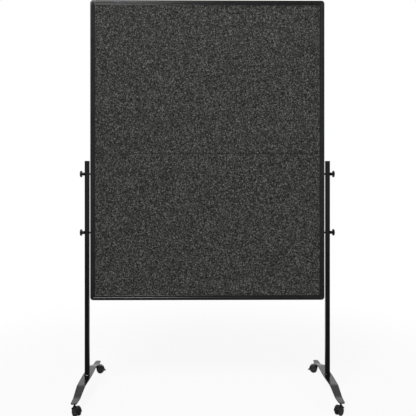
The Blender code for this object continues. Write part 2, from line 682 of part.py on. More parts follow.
def foot(name, side, body):
    """The bent bar: a lip and a bolt hole under the post, and a blind hole for each castor's stem."""
    place = (side * POST_X, 0.0, 0.0)
    rings = list(reversed(foot_sections(-1))) + foot_sections(1)[1:]
    bar = new_part(name, loft_mesh(name, rings), PAINT, body, place)
    shape(bar, foot_lip(f"{name}_lip"), "UNION", place)
    socket = rounded_rectangle(POST_WIDTH + 2 * TOUCH, POST_DEPTH + 2 * TOUCH, POST_RADIUS + TOUCH)
    shape(bar, prism_mesh(f"{name}_socket", [socket], FOOT_CROWN_TOP, FOOT_CROWN_TOP + LIP_HEIGHT + OVERRUN),
          place=place)
    shape(bar, rod_mesh(f"{name}_bolt_hole", BOLT_RADIUS + RUNNING, FOOT_UNDER - OVERRUN,
                        FOOT_CROWN_TOP + OVERRUN, "Z", (0.0, 0.0, 0.0)), place=place)
    below = FOOT_END_TOP - FOOT_THICKNESS - OVERRUN
    holes = [rod_mesh(name, STEM_RADIUS + RUNNING, below, STEM_TOP + TOUCH, "Z", (0.0, end * STEM_Y, 0.0))
             for end in ENDS.values()]
    shape(bar, group_mesh(f"{name}_stem_holes", holes), place=place)
    return bar


def castor_stem(name, side, end, body):
    """The steel pin on which a castor swivels, fixed in the end of the foot."""
    shoulder = BOSS_TOP + TOUCH
    profile = [(0.0, STEM_TOP), (STEM_RADIUS, STEM_TOP), (STEM_RADIUS, shoulder), (STEM_PIN_RADIUS, shoulder),
               (STEM_PIN_RADIUS, STEM_BOTTOM + STEM_EDGE), (STEM_PIN_RADIUS - STEM_EDGE, STEM_BOTTOM),
               (0.0, STEM_BOTTOM)]
    return turned_part(name, profile, STEEL, body, SMALL_STEPS, place=(side * POST_X, end * STEM_Y, 0.0))


def foot_bolt(name, side, body):
    """A bolt up through the foot into the post, with a socket in its head."""
    seat = FOOT_UNDER - TOUCH
    under = seat - BOLT_HEAD_HEIGHT
    tip = POST_BOTTOM + BOLT_REACH
    profile = [(0.0, tip), (BOLT_RADIUS, tip), (BOLT_RADIUS, seat), (BOLT_HEAD_RADIUS, seat),
               (BOLT_HEAD_RADIUS, under), (BOLT_SOCKET_RADIUS, under),
               (BOLT_SOCKET_RADIUS, under + BOLT_SOCKET_DEPTH), (0.0, under + BOLT_SOCKET_DEPTH)]
    return turned_part(name, profile, ZINC, body, SMALL_STEPS, place=(side * POST_X, 0.0, 0.0))


# Clamps


def clamp_knob(name, side, height, body):
    """A mushroom knob moulded round a stud that reaches through the post into the clamp nut."""
    tip = -(POST_WIDTH + POST_GAP + TOUCH + NUT_LIP + NUT_SLOT_DEPTH - STUD_INSET)
    under = KNOB_NECK_LENGTH
    top = under + KNOB_HEAD_LENGTH
    rim = under + KNOB_RIM
    profile = [(KNOB_HEAD_RADIUS * share, rim + (top - rim) * rise) for share, rise in DOME_SHARES]
    profile += [(KNOB_HEAD_RADIUS, rim), (KNOB_HEAD_RADIUS, under + KNOB_EDGE_RISE)]
    profile += [(KNOB_HEAD_RADIUS - KNOB_EDGE_RUN, under), (KNOB_NECK_RADIUS, under)]
    profile += [(KNOB_NECK_RADIUS, KNOB_FLARE), (KNOB_NECK_RADIUS + KNOB_FLARE, 0.0)]
    profile += [(STUD_RADIUS, 0.0), (STUD_RADIUS, tip), (0.0, tip)]
    return turned_part(name, profile, PLASTIC, body, KNOB_STEPS, place=(side * KNOB_FACE, 0.0, height),
                       rotation=(0.0, side * math.pi / 2, 0.0))


def clamp_nut(name, side, height, body):
    """A rectangular nut that lies behind the lips of the frame's outer slot."""
    place = (side * (HALF_BOARD - NUT_LIP - TOUCH - NUT_THICKNESS / 2), 0.0, height)
    corner = (NUT_THICKNESS / 2, NUT_WIDTH / 2, NUT_HEIGHT / 2)
    nut = new_part(name, box_mesh(name, [-size for size in corner], corner), ZINC, body, place)
    shape(nut, rod_mesh(f"{name}_bore", STUD_RADIUS + RUNNING, -NUT_THICKNESS, NUT_THICKNESS, "X",
                        (0.0, 0.0, 0.0)), place=place)
    return nut


# Castors, each in its own axes: origin on the floor under the stem, x towards the trailing side


def axle_arc(radius, start, end, steps):
    return arc((TRAIL, WHEEL_RADIUS), (radius, radius), start, end, steps)


def hood_outline():
    """Side view of the hood with the web below it: round the axle and up to the stem's boss."""
    outline = axle_arc(HOOD_OUTER, HOOD_START, HOOD_END, 10) + axle_arc(WHEEL_RADIUS, HOOD_END, HOOD_END, 1)[:1]
    outline += [(TRAIL * x, WHEEL_RADIUS * z) for x, z in WEB_SHARES]
    return outline + axle_arc(WHEEL_RADIUS, HOOD_START, HOOD_START, 1)[:1]


def wheel_wells(name, radius, far_face, near_face):
    """Round cutters beside the web, one for each wheel."""
    outer = HOOD_HALF + OVERRUN
    return group_mesh(name, [rod_mesh(name, radius, start, finish, "Y", (TRAIL, 0.0, WHEEL_RADIUS), ROUND_STEPS)
                             for start, finish in ((-outer, far_face), (near_face, outer))])


def castor_boss(name, body):
    """The boss round the stem, cut away where the wheels turn."""
    boss = new_part(name, rod_mesh(name, BOSS_RADIUS, BOSS_BOTTOM, BOSS_TOP, "Z", (0.0, 0.0, 0.0)), PLASTIC,
                    body, local=True)
    half = WEB_HALF - BOSS_CUT
    shape(boss, wheel_wells(f"{name}_room", HOOD_INNER - BOSS_CUT, -half, half), local=True)
    mesh = bpy.data.meshes.new_from_object(boss.evaluated_get(bpy.context.evaluated_depsgraph_get()))
    bpy.data.objects.remove(boss)
    mesh.name = name
    return mesh


def castor_housing(name, body, braked):
    housing = new_part(name, prism_mesh(name, [hood_outline()], -HOOD_HALF, HOOD_HALF, UPRIGHT), PLASTIC, body,
                       local=True)
    far_face = ARM_THICKNESS + PLAY - WEB_HALF if braked else -WEB_HALF
    shape(housing, wheel_wells(f"{name}_wells", HOOD_INNER, far_face, WEB_HALF), local=True)
    shape(housing, castor_boss(f"{name}_boss", body), "UNION", local=True)
    shape(housing, rod_mesh(f"{name}_stem_seat", STEM_PIN_RADIUS + RUNNING, BOSS_TOP - STEM_SEAT,
                            BOSS_TOP + OVERRUN, "Z", (0.0, 0.0, 0.0)), local=True)
    axle_half = WHEEL_INNER + WHEEL_WIDTH - WHEEL_HUB_DROP - HUB_SKIN - PLAY
    shape(housing, rod_mesh(f"{name}_axle", AXLE_RADIUS, -axle_half, axle_half, "Y",
                            (TRAIL, 0.0, WHEEL_RADIUS)), "UNION", local=True)
    return housing


def wheel_profile():
    """A disc with rounded tread edges, a dished outer face and a blind bore; height 0 faces inwards."""
    rim = WHEEL_RADIUS - WHEEL_RIM
    bore = AXLE_RADIUS + RUNNING
    hub = WHEEL_WIDTH - WHEEL_HUB_DROP
    return [(0.0, hub), (WHEEL_HUB_RADIUS, hub), (WHEEL_HUB_RADIUS, WHEEL_WIDTH - WHEEL_DISH),
            (rim, WHEEL_WIDTH - WHEEL_DISH), (rim, WHEEL_WIDTH),
            (WHEEL_RADIUS - WHEEL_TREAD_EDGE, WHEEL_WIDTH),
            (WHEEL_RADIUS, WHEEL_WIDTH - WHEEL_TREAD_EDGE), (WHEEL_RADIUS, WHEEL_TREAD_EDGE),
            (WHEEL_RADIUS - WHEEL_TREAD_EDGE, 0.0), (bore, 0.0), (bore, hub - HUB_SKIN),
            (0.0, hub - HUB_SKIN)]


def brake_pedal(name, body):
    """A pedal that turns on the axle: an arm beside the web, a shoe below the hood and a tongue."""
    inner = AXLE_RADIUS + RUNNING
    ring = inner + ARM_RING
    far_face = -WEB_HALF
    near_face = ARM_THICKNESS - WEB_HALF
    reach = (HOOD_INNER + HOOD_OUTER) / 2
    arm = axle_arc(ring, SHOE_START + RING_GAP, 360 + SHOE_END - RING_GAP, 8)
    arm += axle_arc(reach, SHOE_END + ARM_MARGIN, SHOE_START - ARM_MARGIN, 2)
    hole = axle_arc(inner, 0, 360 - 360 / SMALL_STEPS, SMALL_STEPS - 1)
    mesh = prism_mesh(name, [arm, hole], -near_face, -far_face, UPRIGHT)
    centre = Matrix.Translation((-TRAIL, 0.0, -WHEEL_RADIUS))
    mesh.transform(centre)
    axis = (TRAIL, 0.0, WHEEL_RADIUS)
    pedal = new_part(name, mesh, PLASTIC, body, axis, local=True)
    shoe = axle_arc(HOOD_OUTER, SHOE_END, SHOE_START, 3) + axle_arc(HOOD_INNER, SHOE_START, SHOE_END, 3)
    shape(pedal, prism_mesh(f"{name}_shoe", [shoe], -SHOE_HALF, SHOE_HALF, UPRIGHT), "UNION", local=True)
    outer = HOOD_OUTER + PEDAL_REACH
    tongue = axle_arc(outer, SHOE_END, PEDAL_START, 2)
    tongue += axle_arc(reach, PEDAL_START, SHOE_END + TONGUE_MARGIN, 2)
    shape(pedal, prism_mesh(f"{name}_tongue", [tongue], -PEDAL_HALF, PEDAL_HALF, UPRIGHT), "UNION",
          local=True)
    return pedal


def castor(corner, side, end, stand):
    """One twin-wheel castor, turned about its stem to its own trailing direction."""
    trail = FRONT_TRAIL if end < 0 else REAR_TRAIL
    turn = trail if side < 0 else 180 - trail
    swivel = new_empty(f"{corner}_swivel", (side * POST_X, end * STEM_Y, 0.0), stand, turn)
    braked = end > 0
    castor_housing(f"{corner}_castor_housing", swivel, braked)
    for letter, face in (("a", -1), ("b", 1)):
        turned_part(f"{corner}_wheel_{letter}", wheel_profile(), WHEEL, swivel, ROUND_STEPS,
                    place=(TRAIL, face * WHEEL_INNER, WHEEL_RADIUS),
                    rotation=(-face * math.pi / 2, 0.0, 0.0), local=True)
    if braked:
        brake_pedal(f"{corner}_brake_pedal", swivel)


# The whole object


def board_half(half, body, sign, height, end_name):
    panel(half, body, sign, height)
    end_rail(f"{end_name}_rail", body, sign, height)
    rails = {}
    for name, side in SIDES.items():
        rails[name] = side_rail(f"{half}_{name}_rail", side, body, sign, height)
        corner_piece(f"{end_name}_{name}_corner", side, body, sign, height)
        hinge_leaf(f"{half}_{name}_hinge_leaf", side, body, sign)
    return rails


def build():
    stand = new_empty("stand", (0.0, 0.0, 0.0))
    lower = new_empty("lower_board", (0.0, 0.0, SEAM_Z), stand)
    upper = new_empty("upper_board", (0.0, FOLD_Y, SEAM_Z), lower)

    for name, side in SIDES.items():
        foot(f"{name}_foot", side, stand)
        post(f"{name}_post", side, stand)
        post_cap(f"{name}_post_cap", side, stand)
        for end_name, end in ENDS.items():
            castor_stem(f"{end_name}_{name}_castor_stem", side, end, stand)
            castor(f"{end_name}_{name}", side, end, stand)
        foot_bolt(f"{name}_foot_bolt", side, stand)
        for level, height in zip(("upper", "lower"), KNOB_HEIGHTS):
            clamp_knob(f"{level}_{name}_knob", side, height, stand)
            clamp_nut(f"{level}_{name}_clamp_nut", side, height, stand)

    rails = board_half("lower", lower, -1, LOWER_HEIGHT, "bottom")
    for name, side in SIDES.items():
        cut_lock_slot(rails[name], side)
        lock_bar(f"{name}_lock_bar", side, lower)
    board_half("upper", upper, 1, UPPER_HEIGHT, "top")


build()
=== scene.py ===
"""Looks of the mobile pinboard: felt faces, satin frame, painted stand, moulded knobs and castors."""

import json
import math

import bmesh
import bpy
from mathutils import Matrix, Vector


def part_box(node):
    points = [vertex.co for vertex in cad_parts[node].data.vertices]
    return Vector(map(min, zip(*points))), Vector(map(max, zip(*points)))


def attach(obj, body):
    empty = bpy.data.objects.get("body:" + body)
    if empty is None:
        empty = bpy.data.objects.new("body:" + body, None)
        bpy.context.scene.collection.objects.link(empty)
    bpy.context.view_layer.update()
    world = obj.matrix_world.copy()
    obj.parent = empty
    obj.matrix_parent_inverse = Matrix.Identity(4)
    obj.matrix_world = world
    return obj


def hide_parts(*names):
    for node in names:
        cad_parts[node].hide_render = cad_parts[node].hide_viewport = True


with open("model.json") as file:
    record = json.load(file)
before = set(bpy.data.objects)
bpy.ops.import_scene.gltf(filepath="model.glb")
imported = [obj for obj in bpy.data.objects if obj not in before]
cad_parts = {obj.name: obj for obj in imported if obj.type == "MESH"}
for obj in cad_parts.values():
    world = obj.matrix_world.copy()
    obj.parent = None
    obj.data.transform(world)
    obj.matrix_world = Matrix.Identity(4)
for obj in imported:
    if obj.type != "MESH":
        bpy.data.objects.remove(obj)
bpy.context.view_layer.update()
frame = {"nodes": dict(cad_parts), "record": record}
NODES = frame["nodes"]
RECORD = frame["record"]
BODY_OF = {node: body for body, nodes in RECORD["behaviour"]["bodies"].items() for node in nodes}
JOINTS = {joint["name"]: joint for joint in RECORD["behaviour"]["joints"]}
MM = 0.001

# Camera, fitted to the photograph
CAMERA_DISTANCE = 2.71  # from the upright axis through the origin
CAMERA_HEIGHT = 1.0885
CAMERA_TURN = -0.5  # degrees about that axis
SENSOR_WIDTH = 36.0
LENS = 45.66
SIDE_SHIFT = 0.0011
HORIZON_SHIFT = -0.0681

SIDES = {"left": -1, "right": 1}
ENDS = ("front", "rear")
LEVELS = ("upper", "lower")
LEVEL_RAILS = ("top_rail", "bottom_rail")

scene = bpy.context.scene
scene.view_settings.view_transform = "Standard"


# Shader helpers


def join(tree, source, target):
    """Connect two sockets of a node tree."""
    tree.links.new(source, target)


def new_material(name, colour, roughness, **sockets):
    """A Principled material; returns it with its tree, shader and object coordinates."""
    material = bpy.data.materials.new(name)
    material.use_nodes = True
    tree = material.node_tree
    shader = tree.nodes["Principled BSDF"]
    shader.inputs["Base Color"].default_value = (*colour, 1.0)
    shader.inputs["Roughness"].default_value = roughness
    for key, value in sockets.items():
        shader.inputs[key.replace("_", " ").title().replace("Ior", "IOR")].default_value = value
    place = tree.nodes.new("ShaderNodeTexCoord")
    return material, tree, shader, place.outputs["Object"]


def noise(tree, vector, scale, detail=2.0, roughness=0.5, stretch=None, distortion=0.0):
    """Factor of a noise of that many features a metre, optionally stretched along an axis."""
    if stretch:
        mapping = tree.nodes.new("ShaderNodeMapping")
        mapping.inputs["Scale"].default_value = stretch
        join(tree, vector, mapping.inputs["Vector"])
        vector = mapping.outputs["Vector"]
    node = tree.nodes.new("ShaderNodeTexNoise")
    node.inputs["Scale"].default_value = scale
    node.inputs["Detail"].default_value = detail
    node.inputs["Roughness"].default_value = roughness
    node.inputs["Distortion"].default_value = distortion
    join(tree, vector, node.inputs["Vector"])
    return node.outputs["Fac"]


def ramp(tree, factor, stops):
    """A colour ramp through stops of (place, colour or grey)."""
    node = tree.nodes.new("ShaderNodeValToRGB")
    elements = node.color_ramp.elements
    while len(elements) < len(stops):
        elements.new(0.5)
    for element, (place, colour) in zip(elements, stops):
        if not isinstance(colour, tuple):
            colour = (colour, colour, colour)
        element.position = place
        element.color = (*colour, 1.0)
    join(tree, factor, node.inputs["Fac"])
    return node.outputs["Color"]


def vary(tree, shader, socket, factor, span, low, high):
    """Let a socket of the shader run from low to high as the factor passes over the span."""
    join(tree, ramp(tree, factor, [(span[0], low), (span[1], high)]), shader.inputs[socket])


def scaled(colour, share):
    """A colour multiplied by a share."""
    return tuple(part * share for part in colour)


def bump(tree, shader, height, distance, under=None):
    """Relief of that depth in metres, over any relief that is already under it."""
    node = tree.nodes.new("ShaderNodeBump")
    node.inputs["Distance"].default_value = distance
    join(tree, height, node.inputs["Height"])
    if under is not None:
        join(tree, under, node.inputs["Normal"])
    join(tree, node.outputs["Normal"], shader.inputs["Normal"])
    return node.outputs["Normal"]


# Materials

FELT_CLUMPS = 182.0  # features a metre, here and below
FELT_FUZZ = 1400.0
FELT_GREYS = ((0.34, (0.0045, 0.0047, 0.0044)), (0.46, (0.024, 0.0246, 0.0231)),
              (0.55, (0.055, 0.0562, 0.0526)), (0.67, (0.192, 0.195, 0.183)))
DRAWING_LINES = 1800.0
DRAWING_STRETCH = 0.02  # scale of the noise along the extrusion
METAL_TINT = 14.0
GLOSS_PATCHES = 40.0


def felt_material():
    """Needled felt: clumps of light and dark fibre over a fine fuzz."""
    material, tree, shader, place = new_material("felt", (0.048, 0.049, 0.046), 0.95, Sheen_Weight=0.12,
                                                 Sheen_Roughness=0.5, Specular_IOR_Level=0.2)
    clumps = noise(tree, place, FELT_CLUMPS, 3.0, 0.62, distortion=0.5)
    join(tree, ramp(tree, clumps, FELT_GREYS), shader.inputs["Base Color"])
    fuzz = noise(tree, place, FELT_FUZZ, 3.0, 0.6, distortion=1.2)
    first = bump(tree, shader, fuzz, 0.3 * MM)
    bump(tree, shader, clumps, 0.5 * MM, under=first)
    return material


def brushed_material(name, colour, roughness, along, **sockets):
    """A satin extrusion with faint drawing lines along its length."""
    material, tree, shader, place = new_material(name, colour, roughness, **sockets)
    stretch = [1.0, 1.0, 1.0]
    stretch[along] = DRAWING_STRETCH
    lines = noise(tree, place, DRAWING_LINES, 3.0, 0.6, stretch=stretch)
    vary(tree, shader, "Roughness", lines, (0.35, 0.65), roughness - 0.06, roughness + 0.08)
    tint = noise(tree, place, METAL_TINT)
    vary(tree, shader, "Base Color", tint, (0.35, 0.65), scaled(colour, 0.88), scaled(colour, 1.12))
    bump(tree, shader, lines, 0.006 * MM)
    return material


def grained_material(name, colour, roughness, grain, depth):
    """A moulded or powder-coated surface: fine grain of that depth, a little uneven gloss."""
    material, tree, shader, place = new_material(name, colour, roughness)
    texture = noise(tree, place, grain)
    patches = noise(tree, place, GLOSS_PATCHES, 3.0, 0.6)
    vary(tree, shader, "Roughness", patches, (0.35, 0.65), roughness - 0.05, roughness + 0.07)
    vary(tree, shader, "Base Color", patches, (0.3, 0.7), scaled(colour, 0.85), scaled(colour, 1.15))
    bump(tree, shader, texture, depth)
    return material


FELT = felt_material()
CORE = grained_material("core_board", (0.32, 0.26, 0.19), 0.9, 300.0, 0.2 * MM)
# Painted light: the upright rails are the same extrusion as the level ones but get a lighter base colour
RAIL_UPRIGHT = brushed_material("rail_upright", (0.017, 0.017, 0.018), 0.26, 2, Specular_IOR_Level=0.4)
RAIL_LEVEL = brushed_material("rail_level", (0.014, 0.014, 0.0148), 0.26, 0, Specular_IOR_Level=0.4)
CORNER = grained_material("corner_plastic", (0.013, 0.013, 0.0136), 0.34, 1500.0, 0.015 * MM)
PAINT = grained_material("stand_paint", (0.006, 0.006, 0.0064), 0.2, 900.0, 0.006 * MM)
PLASTIC = grained_material("black_plastic", (0.006, 0.006, 0.0064), 0.36, 1600.0, 0.015 * MM)
WHEEL = grained_material("wheel_plastic", (0.042, 0.042, 0.043), 0.42, 1200.0, 0.015 * MM)
HOUSING = grained_material("castor_plastic", (0.016, 0.016, 0.0165), 0.36, 1600.0, 0.015 * MM)
STEEL = brushed_material("blackened_steel", (0.06, 0.06, 0.065), 0.35, 2, Metallic=0.9)
ZINC = brushed_material("zinc_steel", (0.45, 0.45, 0.46), 0.32, 2, Metallic=1.0)


def material_for(node):
    """A node's finish, from its name."""
    if node.endswith("core"):
        return CORE
    if node.endswith("corner"):
        return CORNER
    if node in LEVEL_RAILS or node.endswith("edge_strip"):
        return RAIL_LEVEL
    if node.endswith(("rail", "hinge_leaf")):
        return RAIL_UPRIGHT
    if node.endswith(("lock_bar", "castor_stem")):
        return STEEL
    if node.endswith(("clamp_nut", "foot_bolt")):
        return ZINC
    if "wheel" in node:
        return WHEEL
    if node.endswith("castor_housing"):
        return HOUSING
    if node.endswith(("_foot", "_post")):
        return PAINT
    if node.endswith("felt"):
        return FELT
    return PLASTIC


for node_name, node_object in NODES.items():
    node_object.data.materials.clear()
    node_object.data.materials.append(material_for(node_name))


# Finer pieces in the place of the faceted solids, in the same sizes

EDGE_ANGLE = math.radians(38)  # faces that meet at more than this have a sharp edge
WELD = 0.001 * MM  # points closer than this are one point
KEYS_PER_METRE = 1e7  # points of a loft that agree to this are one point


def link(obj):
    """Bring an object into the scene."""
    scene.collection.objects.link(obj)
    return obj


def evaluated(holder):
    """The mesh of an object with its modifiers applied."""
    return bpy.data.meshes.new_from_object(holder.evaluated_get(bpy.context.evaluated_depsgraph_get()))


def smooth(mesh):
    """Smooth shading, with flat faces kept flat and sharp edges kept sharp."""
    mesh.shade_smooth()
    mesh.set_sharp_from_angle(angle=EDGE_ANGLE)
    holder = link(bpy.data.objects.new(mesh.name, mesh))
    normals = holder.modifiers.new("normals", "WEIGHTED_NORMAL")
    normals.keep_sharp = True
    shaded = evaluated(holder)
    bpy.data.objects.remove(holder)
    return shaded


def solid(name, base, cuts=(), edge=0.0):
    """A mesh shaped by others, each an operation and a mesh; its sharp edges are then rounded."""
    holder = link(bpy.data.objects.new(name, base))
    tools = []
    for operation, mesh in cuts:
        tool = link(bpy.data.objects.new(name, mesh))
        boolean = holder.modifiers.new("shape", "BOOLEAN")
        boolean.operation = operation
        boolean.solver = "EXACT"
        boolean.object = tool
        tools.append(tool)
    if edge:
        bevel = holder.modifiers.new("edges", "BEVEL")
        bevel.width = edge
        bevel.segments = 3
        bevel.limit_method = "ANGLE"
        bevel.angle_limit = EDGE_ANGLE
    mesh = evaluated(holder)
    for obj in [holder] + tools:
        bpy.data.objects.remove(obj)
    mesh.name = name
    return smooth(mesh)


def dress(node, mesh, matrix=None):
    """Put a finer mesh in a node's place: it moves with the node's body and has its finish."""
    if matrix is not None:
        mesh.transform(matrix)
    mesh.materials.clear()
    mesh.materials.append(material_for(node))
    piece = link(bpy.data.objects.new(f"{node}_piece", mesh))
    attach(piece, BODY_OF[node])
    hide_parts(node)
    return piece


def mesh_from(bm, name):
    """A mesh made of a finished bmesh, with its faces turned outwards."""
    bmesh.ops.recalc_face_normals(bm, faces=bm.faces)
    mesh = bpy.data.meshes.new(name)
    bm.to_mesh(mesh)
    bm.free()
    return mesh


def box_mesh(low, high):
    """A box between its lowest and its highest corner."""
    size = [b - a for a, b in zip(low, high)]
    middle = [(a + b) / 2 for a, b in zip(low, high)]
    bm = bmesh.new()
    bmesh.ops.create_cube(bm, size=1.0, matrix=Matrix.Translation(middle) @ Matrix.Diagonal((*size, 1.0)))
    return mesh_from(bm, "box")


def rod_mesh(radius, start, end, axis, centre, segments=48):
    """A cylinder along one axis, from start to end on it, through centre on the other two."""
    turn = {"X": Matrix.Rotation(math.pi / 2, 4, "Y"), "Y": Matrix.Rotation(math.pi / 2, 4, "X"),
            "Z": Matrix.Identity(4)}[axis]
    place = list(centre)
    place["XYZ".index(axis)] = (start + end) / 2
    bm = bmesh.new()
    bmesh.ops.create_cone(bm, cap_ends=True, segments=segments, radius1=radius, radius2=radius,
                          depth=abs(end - start), matrix=Matrix.Translation(place) @ turn)
    return mesh_from(bm, "rod")


def prism_mesh(outlines, low, high, matrix=None):
    """A flat outline, the first one, less any holes, extruded along its own Z from low to high."""
    curve = bpy.data.curves.new("outline", "CURVE")
    curve.dimensions = "2D"
    curve.fill_mode = "BOTH"
    curve.extrude = (high - low) / 2
    for outline in outlines:
        spline = curve.splines.new("POLY")
        spline.points.add(len(outline) - 1)
        for point, (x, y) in zip(spline.points, outline):
            point.co = (x, y, 0.0, 1.0)
        spline.use_cyclic_u = True
    guide = link(bpy.data.objects.new("outline", curve))
    flat = evaluated(guide)
    bpy.data.objects.remove(guide)
    bpy.data.curves.remove(curve)
    bm = bmesh.new()
    bm.from_mesh(flat)
    bpy.data.meshes.remove(flat)
    bmesh.ops.remove_doubles(bm, verts=bm.verts, dist=WELD)
    bmesh.ops.translate(bm, verts=bm.verts, vec=(0.0, 0.0, (low + high) / 2))
    if matrix is not None:
        bmesh.ops.transform(bm, matrix=matrix, verts=bm.verts)
    return mesh_from(bm, "prism")


def loft_mesh(rings):
    """A closed body through rings of equally many points, which may share points with each other."""
    bm = bmesh.new()
    known = {}
    loops = []
    for ring in rings:
        loop = []
        for point in ring:
            key = tuple(round(value * KEYS_PER_METRE) for value in point)
            if key not in known:
                known[key] = bm.verts.new(point)
            loop.append(known[key])
        loops.append(loop)
    for near, far in zip(loops, loops[1:]):
        for i in range(len(near)):
            j = (i + 1) % len(near)
            corners = list(dict.fromkeys((near[i], near[j], far[j], far[i])))
            if len(corners) > 2:
                bm.faces.new(corners)
    bm.faces.new(loops[0])
    bm.faces.new(loops[-1])
    return mesh_from(bm, "loft")


def lathe_mesh(profile, segments=64):
    """A profile of radius and height, from the axis back to the axis, turned about Z."""
    bm = bmesh.new()
    rings = []
    for radius, height in profile:
        if radius < WELD:
            rings.append([bm.verts.new((0.0, 0.0, height))])
            continue
        turns = [2 * math.pi * step / segments for step in range(segments)]
        rings.append([bm.verts.new((radius * math.cos(a), radius * math.sin(a), height)) for a in turns])
    for near, far in zip(rings, rings[1:]):
        for i in range(segments):
            j = (i + 1) % segments
            corners = [near[i % len(near)], near[j % len(near)], far[j % len(far)], far[i % len(far)]]
            face = list(dict.fromkeys(corners))
            if len(face) > 2:
                bm.faces.new(face)
    return mesh_from(bm, "lathe")


def arc(centre, radii, start, end, steps=8):
    """Points of an elliptic arc, start and end in degrees."""
    points = []
    for step in range(steps + 1):
        angle = math.radians(start + (end - start) * step / steps)
        points.append((centre[0] + radii[0] * math.cos(angle), centre[1] + radii[1] * math.sin(angle)))
    return points


def rounded_rectangle(width, depth, radius, steps=8):
    """Outline of a rectangle about the origin, anticlockwise from its right side."""
    x = width / 2 - radius
    y = depth / 2 - radius
    radii = (radius, radius)
    return (arc((x, y), radii, 0, 90, steps) + arc((-x, y), radii, 90, 180, steps)
            + arc((-x, -y), radii, 180, 270, steps) + arc((x, -y), radii, 270, 360, steps))


def eased(points, reach, steps=4):
    """A polyline whose inner corners are rounded over reach on each side, or over less on short sides."""
    path = [points[0]]
    for before, corner, after in zip(points, points[1:], points[2:]):
        ends = []
        for other in (before, after):
            share = min(0.48, reach / math.dist(corner, other))
            ends.append([c + (o - c) * share for c, o in zip(corner, other)])
        for step in range(steps + 1):
            t = step / steps
            path.append(tuple((1 - t) ** 2 * a + 2 * t * (1 - t) * c + t * t * b
                              for a, c, b in zip(ends[0], corner, ends[1])))
    path.append(points[-1])
    return path


# Local axes of a flat outline that stands up: outline x is X, outline y is Z, its depth is along Y
UPRIGHT = Matrix(((1, 0, 0, 0), (0, 0, -1, 0), (0, 1, 0, 0), (0, 0, 0, 1)))


# Felt faces

FELT_CUT = 3.1 * MM  # off the two corners next to the frame's corner pieces
FELT_EDGE = 0.45 * MM
HALVES = {"lower": -1, "upper": 1}  # the way from the fold line


def felt_piece(node, sign):
    """A felt glued flat on its core, with rounded edges."""
    low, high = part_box(node)
    inner, outer = (low[2], high[2]) if sign > 0 else (high[2], low[2])
    step = outer - sign * FELT_CUT
    outline = [(low[0], inner), (high[0], inner), (high[0], step), (high[0] - FELT_CUT, outer),
               (low[0] + FELT_CUT, outer), (low[0], step)]
    mesh = solid(node, prism_mesh([outline], -high[1], -low[1], UPRIGHT), edge=FELT_EDGE)
    piece = dress(node, mesh)


for half, sign in HALVES.items():
    for face in ("front", "back"):
        felt_piece(f"{half}_{face}_felt", sign)


# Frame

RAIL_WIDTH = 25.0 * MM
RAIL_BACK = 11.0 * MM  # half its depth
GROOVE_HALF = 7.35 * MM
GROOVE_DEPTH = 6.0 * MM
CHAMBER = (7.5 * MM, 14.5 * MM, 8.3 * MM)  # its inner and outer side and its half depth
CHAMBER_MIDDLE = (CHAMBER[0] + CHAMBER[1]) / 2
SLOT = (16.0 * MM, 23.0 * MM, 6.5 * MM, 3.5 * MM)  # inner and outer side, half width, half mouth
FACE_OUTWARDS = (0.0, 1.7, 4.2, 5.8, 9.0, 12.4, 15.0, 16.4, 23.0, 24.4, 25.0, 25.0)  # mm from the felt
FACE_DROPS = (0.95, 0.0, 0.44, 2.3, 1.95, 0.0, 0.45, 1.9, 1.7, 2.6, 4.0, 7.0)  # mm behind the ridges
FACE_EASE = 0.45 * MM
CORNER_RADIUS = 16.0 * MM
CORNER_REACH = 2.5 * MM  # how far a corner piece reaches along each rail's inner edge
CORNER_STEPS = 18
TENON_LENGTH = 22.0 * MM
TENON_ROOT = 4.0 * MM
SEAM_Z = (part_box("lower_edge_strip")[1][2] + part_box("upper_edge_strip")[0][2]) / 2
SEAM_GROW = 0.22 * MM  # how much closer the two halves come at the fold line than the solids do
STRIP_EDGE = 0.25 * MM
TOUCH = 0.3 * MM  # between pieces that rest against each other
PLAY = 0.4 * MM  # round sliding and plugged pieces
LOCK_DROP = 100.0 * MM  # from the top of a lock bar down to its button
LOCK_TRAVEL = 30.0 * MM
LOCK_SLOT_HALF = 2.65 * MM


def rail_face():
    """The front of the frame section, from the felt outwards: two ridges and a rounded outer edge."""
    ridges = [(x * MM, drop * MM - RAIL_BACK) for x, drop in zip(FACE_OUTWARDS, FACE_DROPS)]
    return eased(ridges, FACE_EASE, 3)


def rail_section():
    """Outline of the frame section and its chamber: x runs outwards from the felt, y is depth."""
    front = [(GROOVE_DEPTH, -GROOVE_HALF), (0.0, -GROOVE_HALF)] + rail_face()
    front += [(RAIL_WIDTH, -SLOT[3]), (SLOT[1], -SLOT[3]), (SLOT[1], -SLOT[2]), (SLOT[0], -SLOT[2])]
    back = [(x, -y) for x, y in reversed(front)]
    low = (CHAMBER[0], -CHAMBER[2])
    high = (CHAMBER[1], CHAMBER[2])
    return [front + back, [low, (high[0], low[1]), high, (low[0], high[1])]]


def seam_box(node):
    """A piece's box, grown towards the fold line where it ends there."""
    low, high = (list(corner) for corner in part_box(node))
    if abs(high[2] - SEAM_Z) < MM:
        high[2] += SEAM_GROW
    if abs(low[2] - SEAM_Z) < MM:
        low[2] -= SEAM_GROW
    return low, high


def edge_strip(node):
    """The strip along the fold line, with slightly eased edges."""
    dress(node, solid(node, box_mesh(*seam_box(node)), edge=STRIP_EDGE))


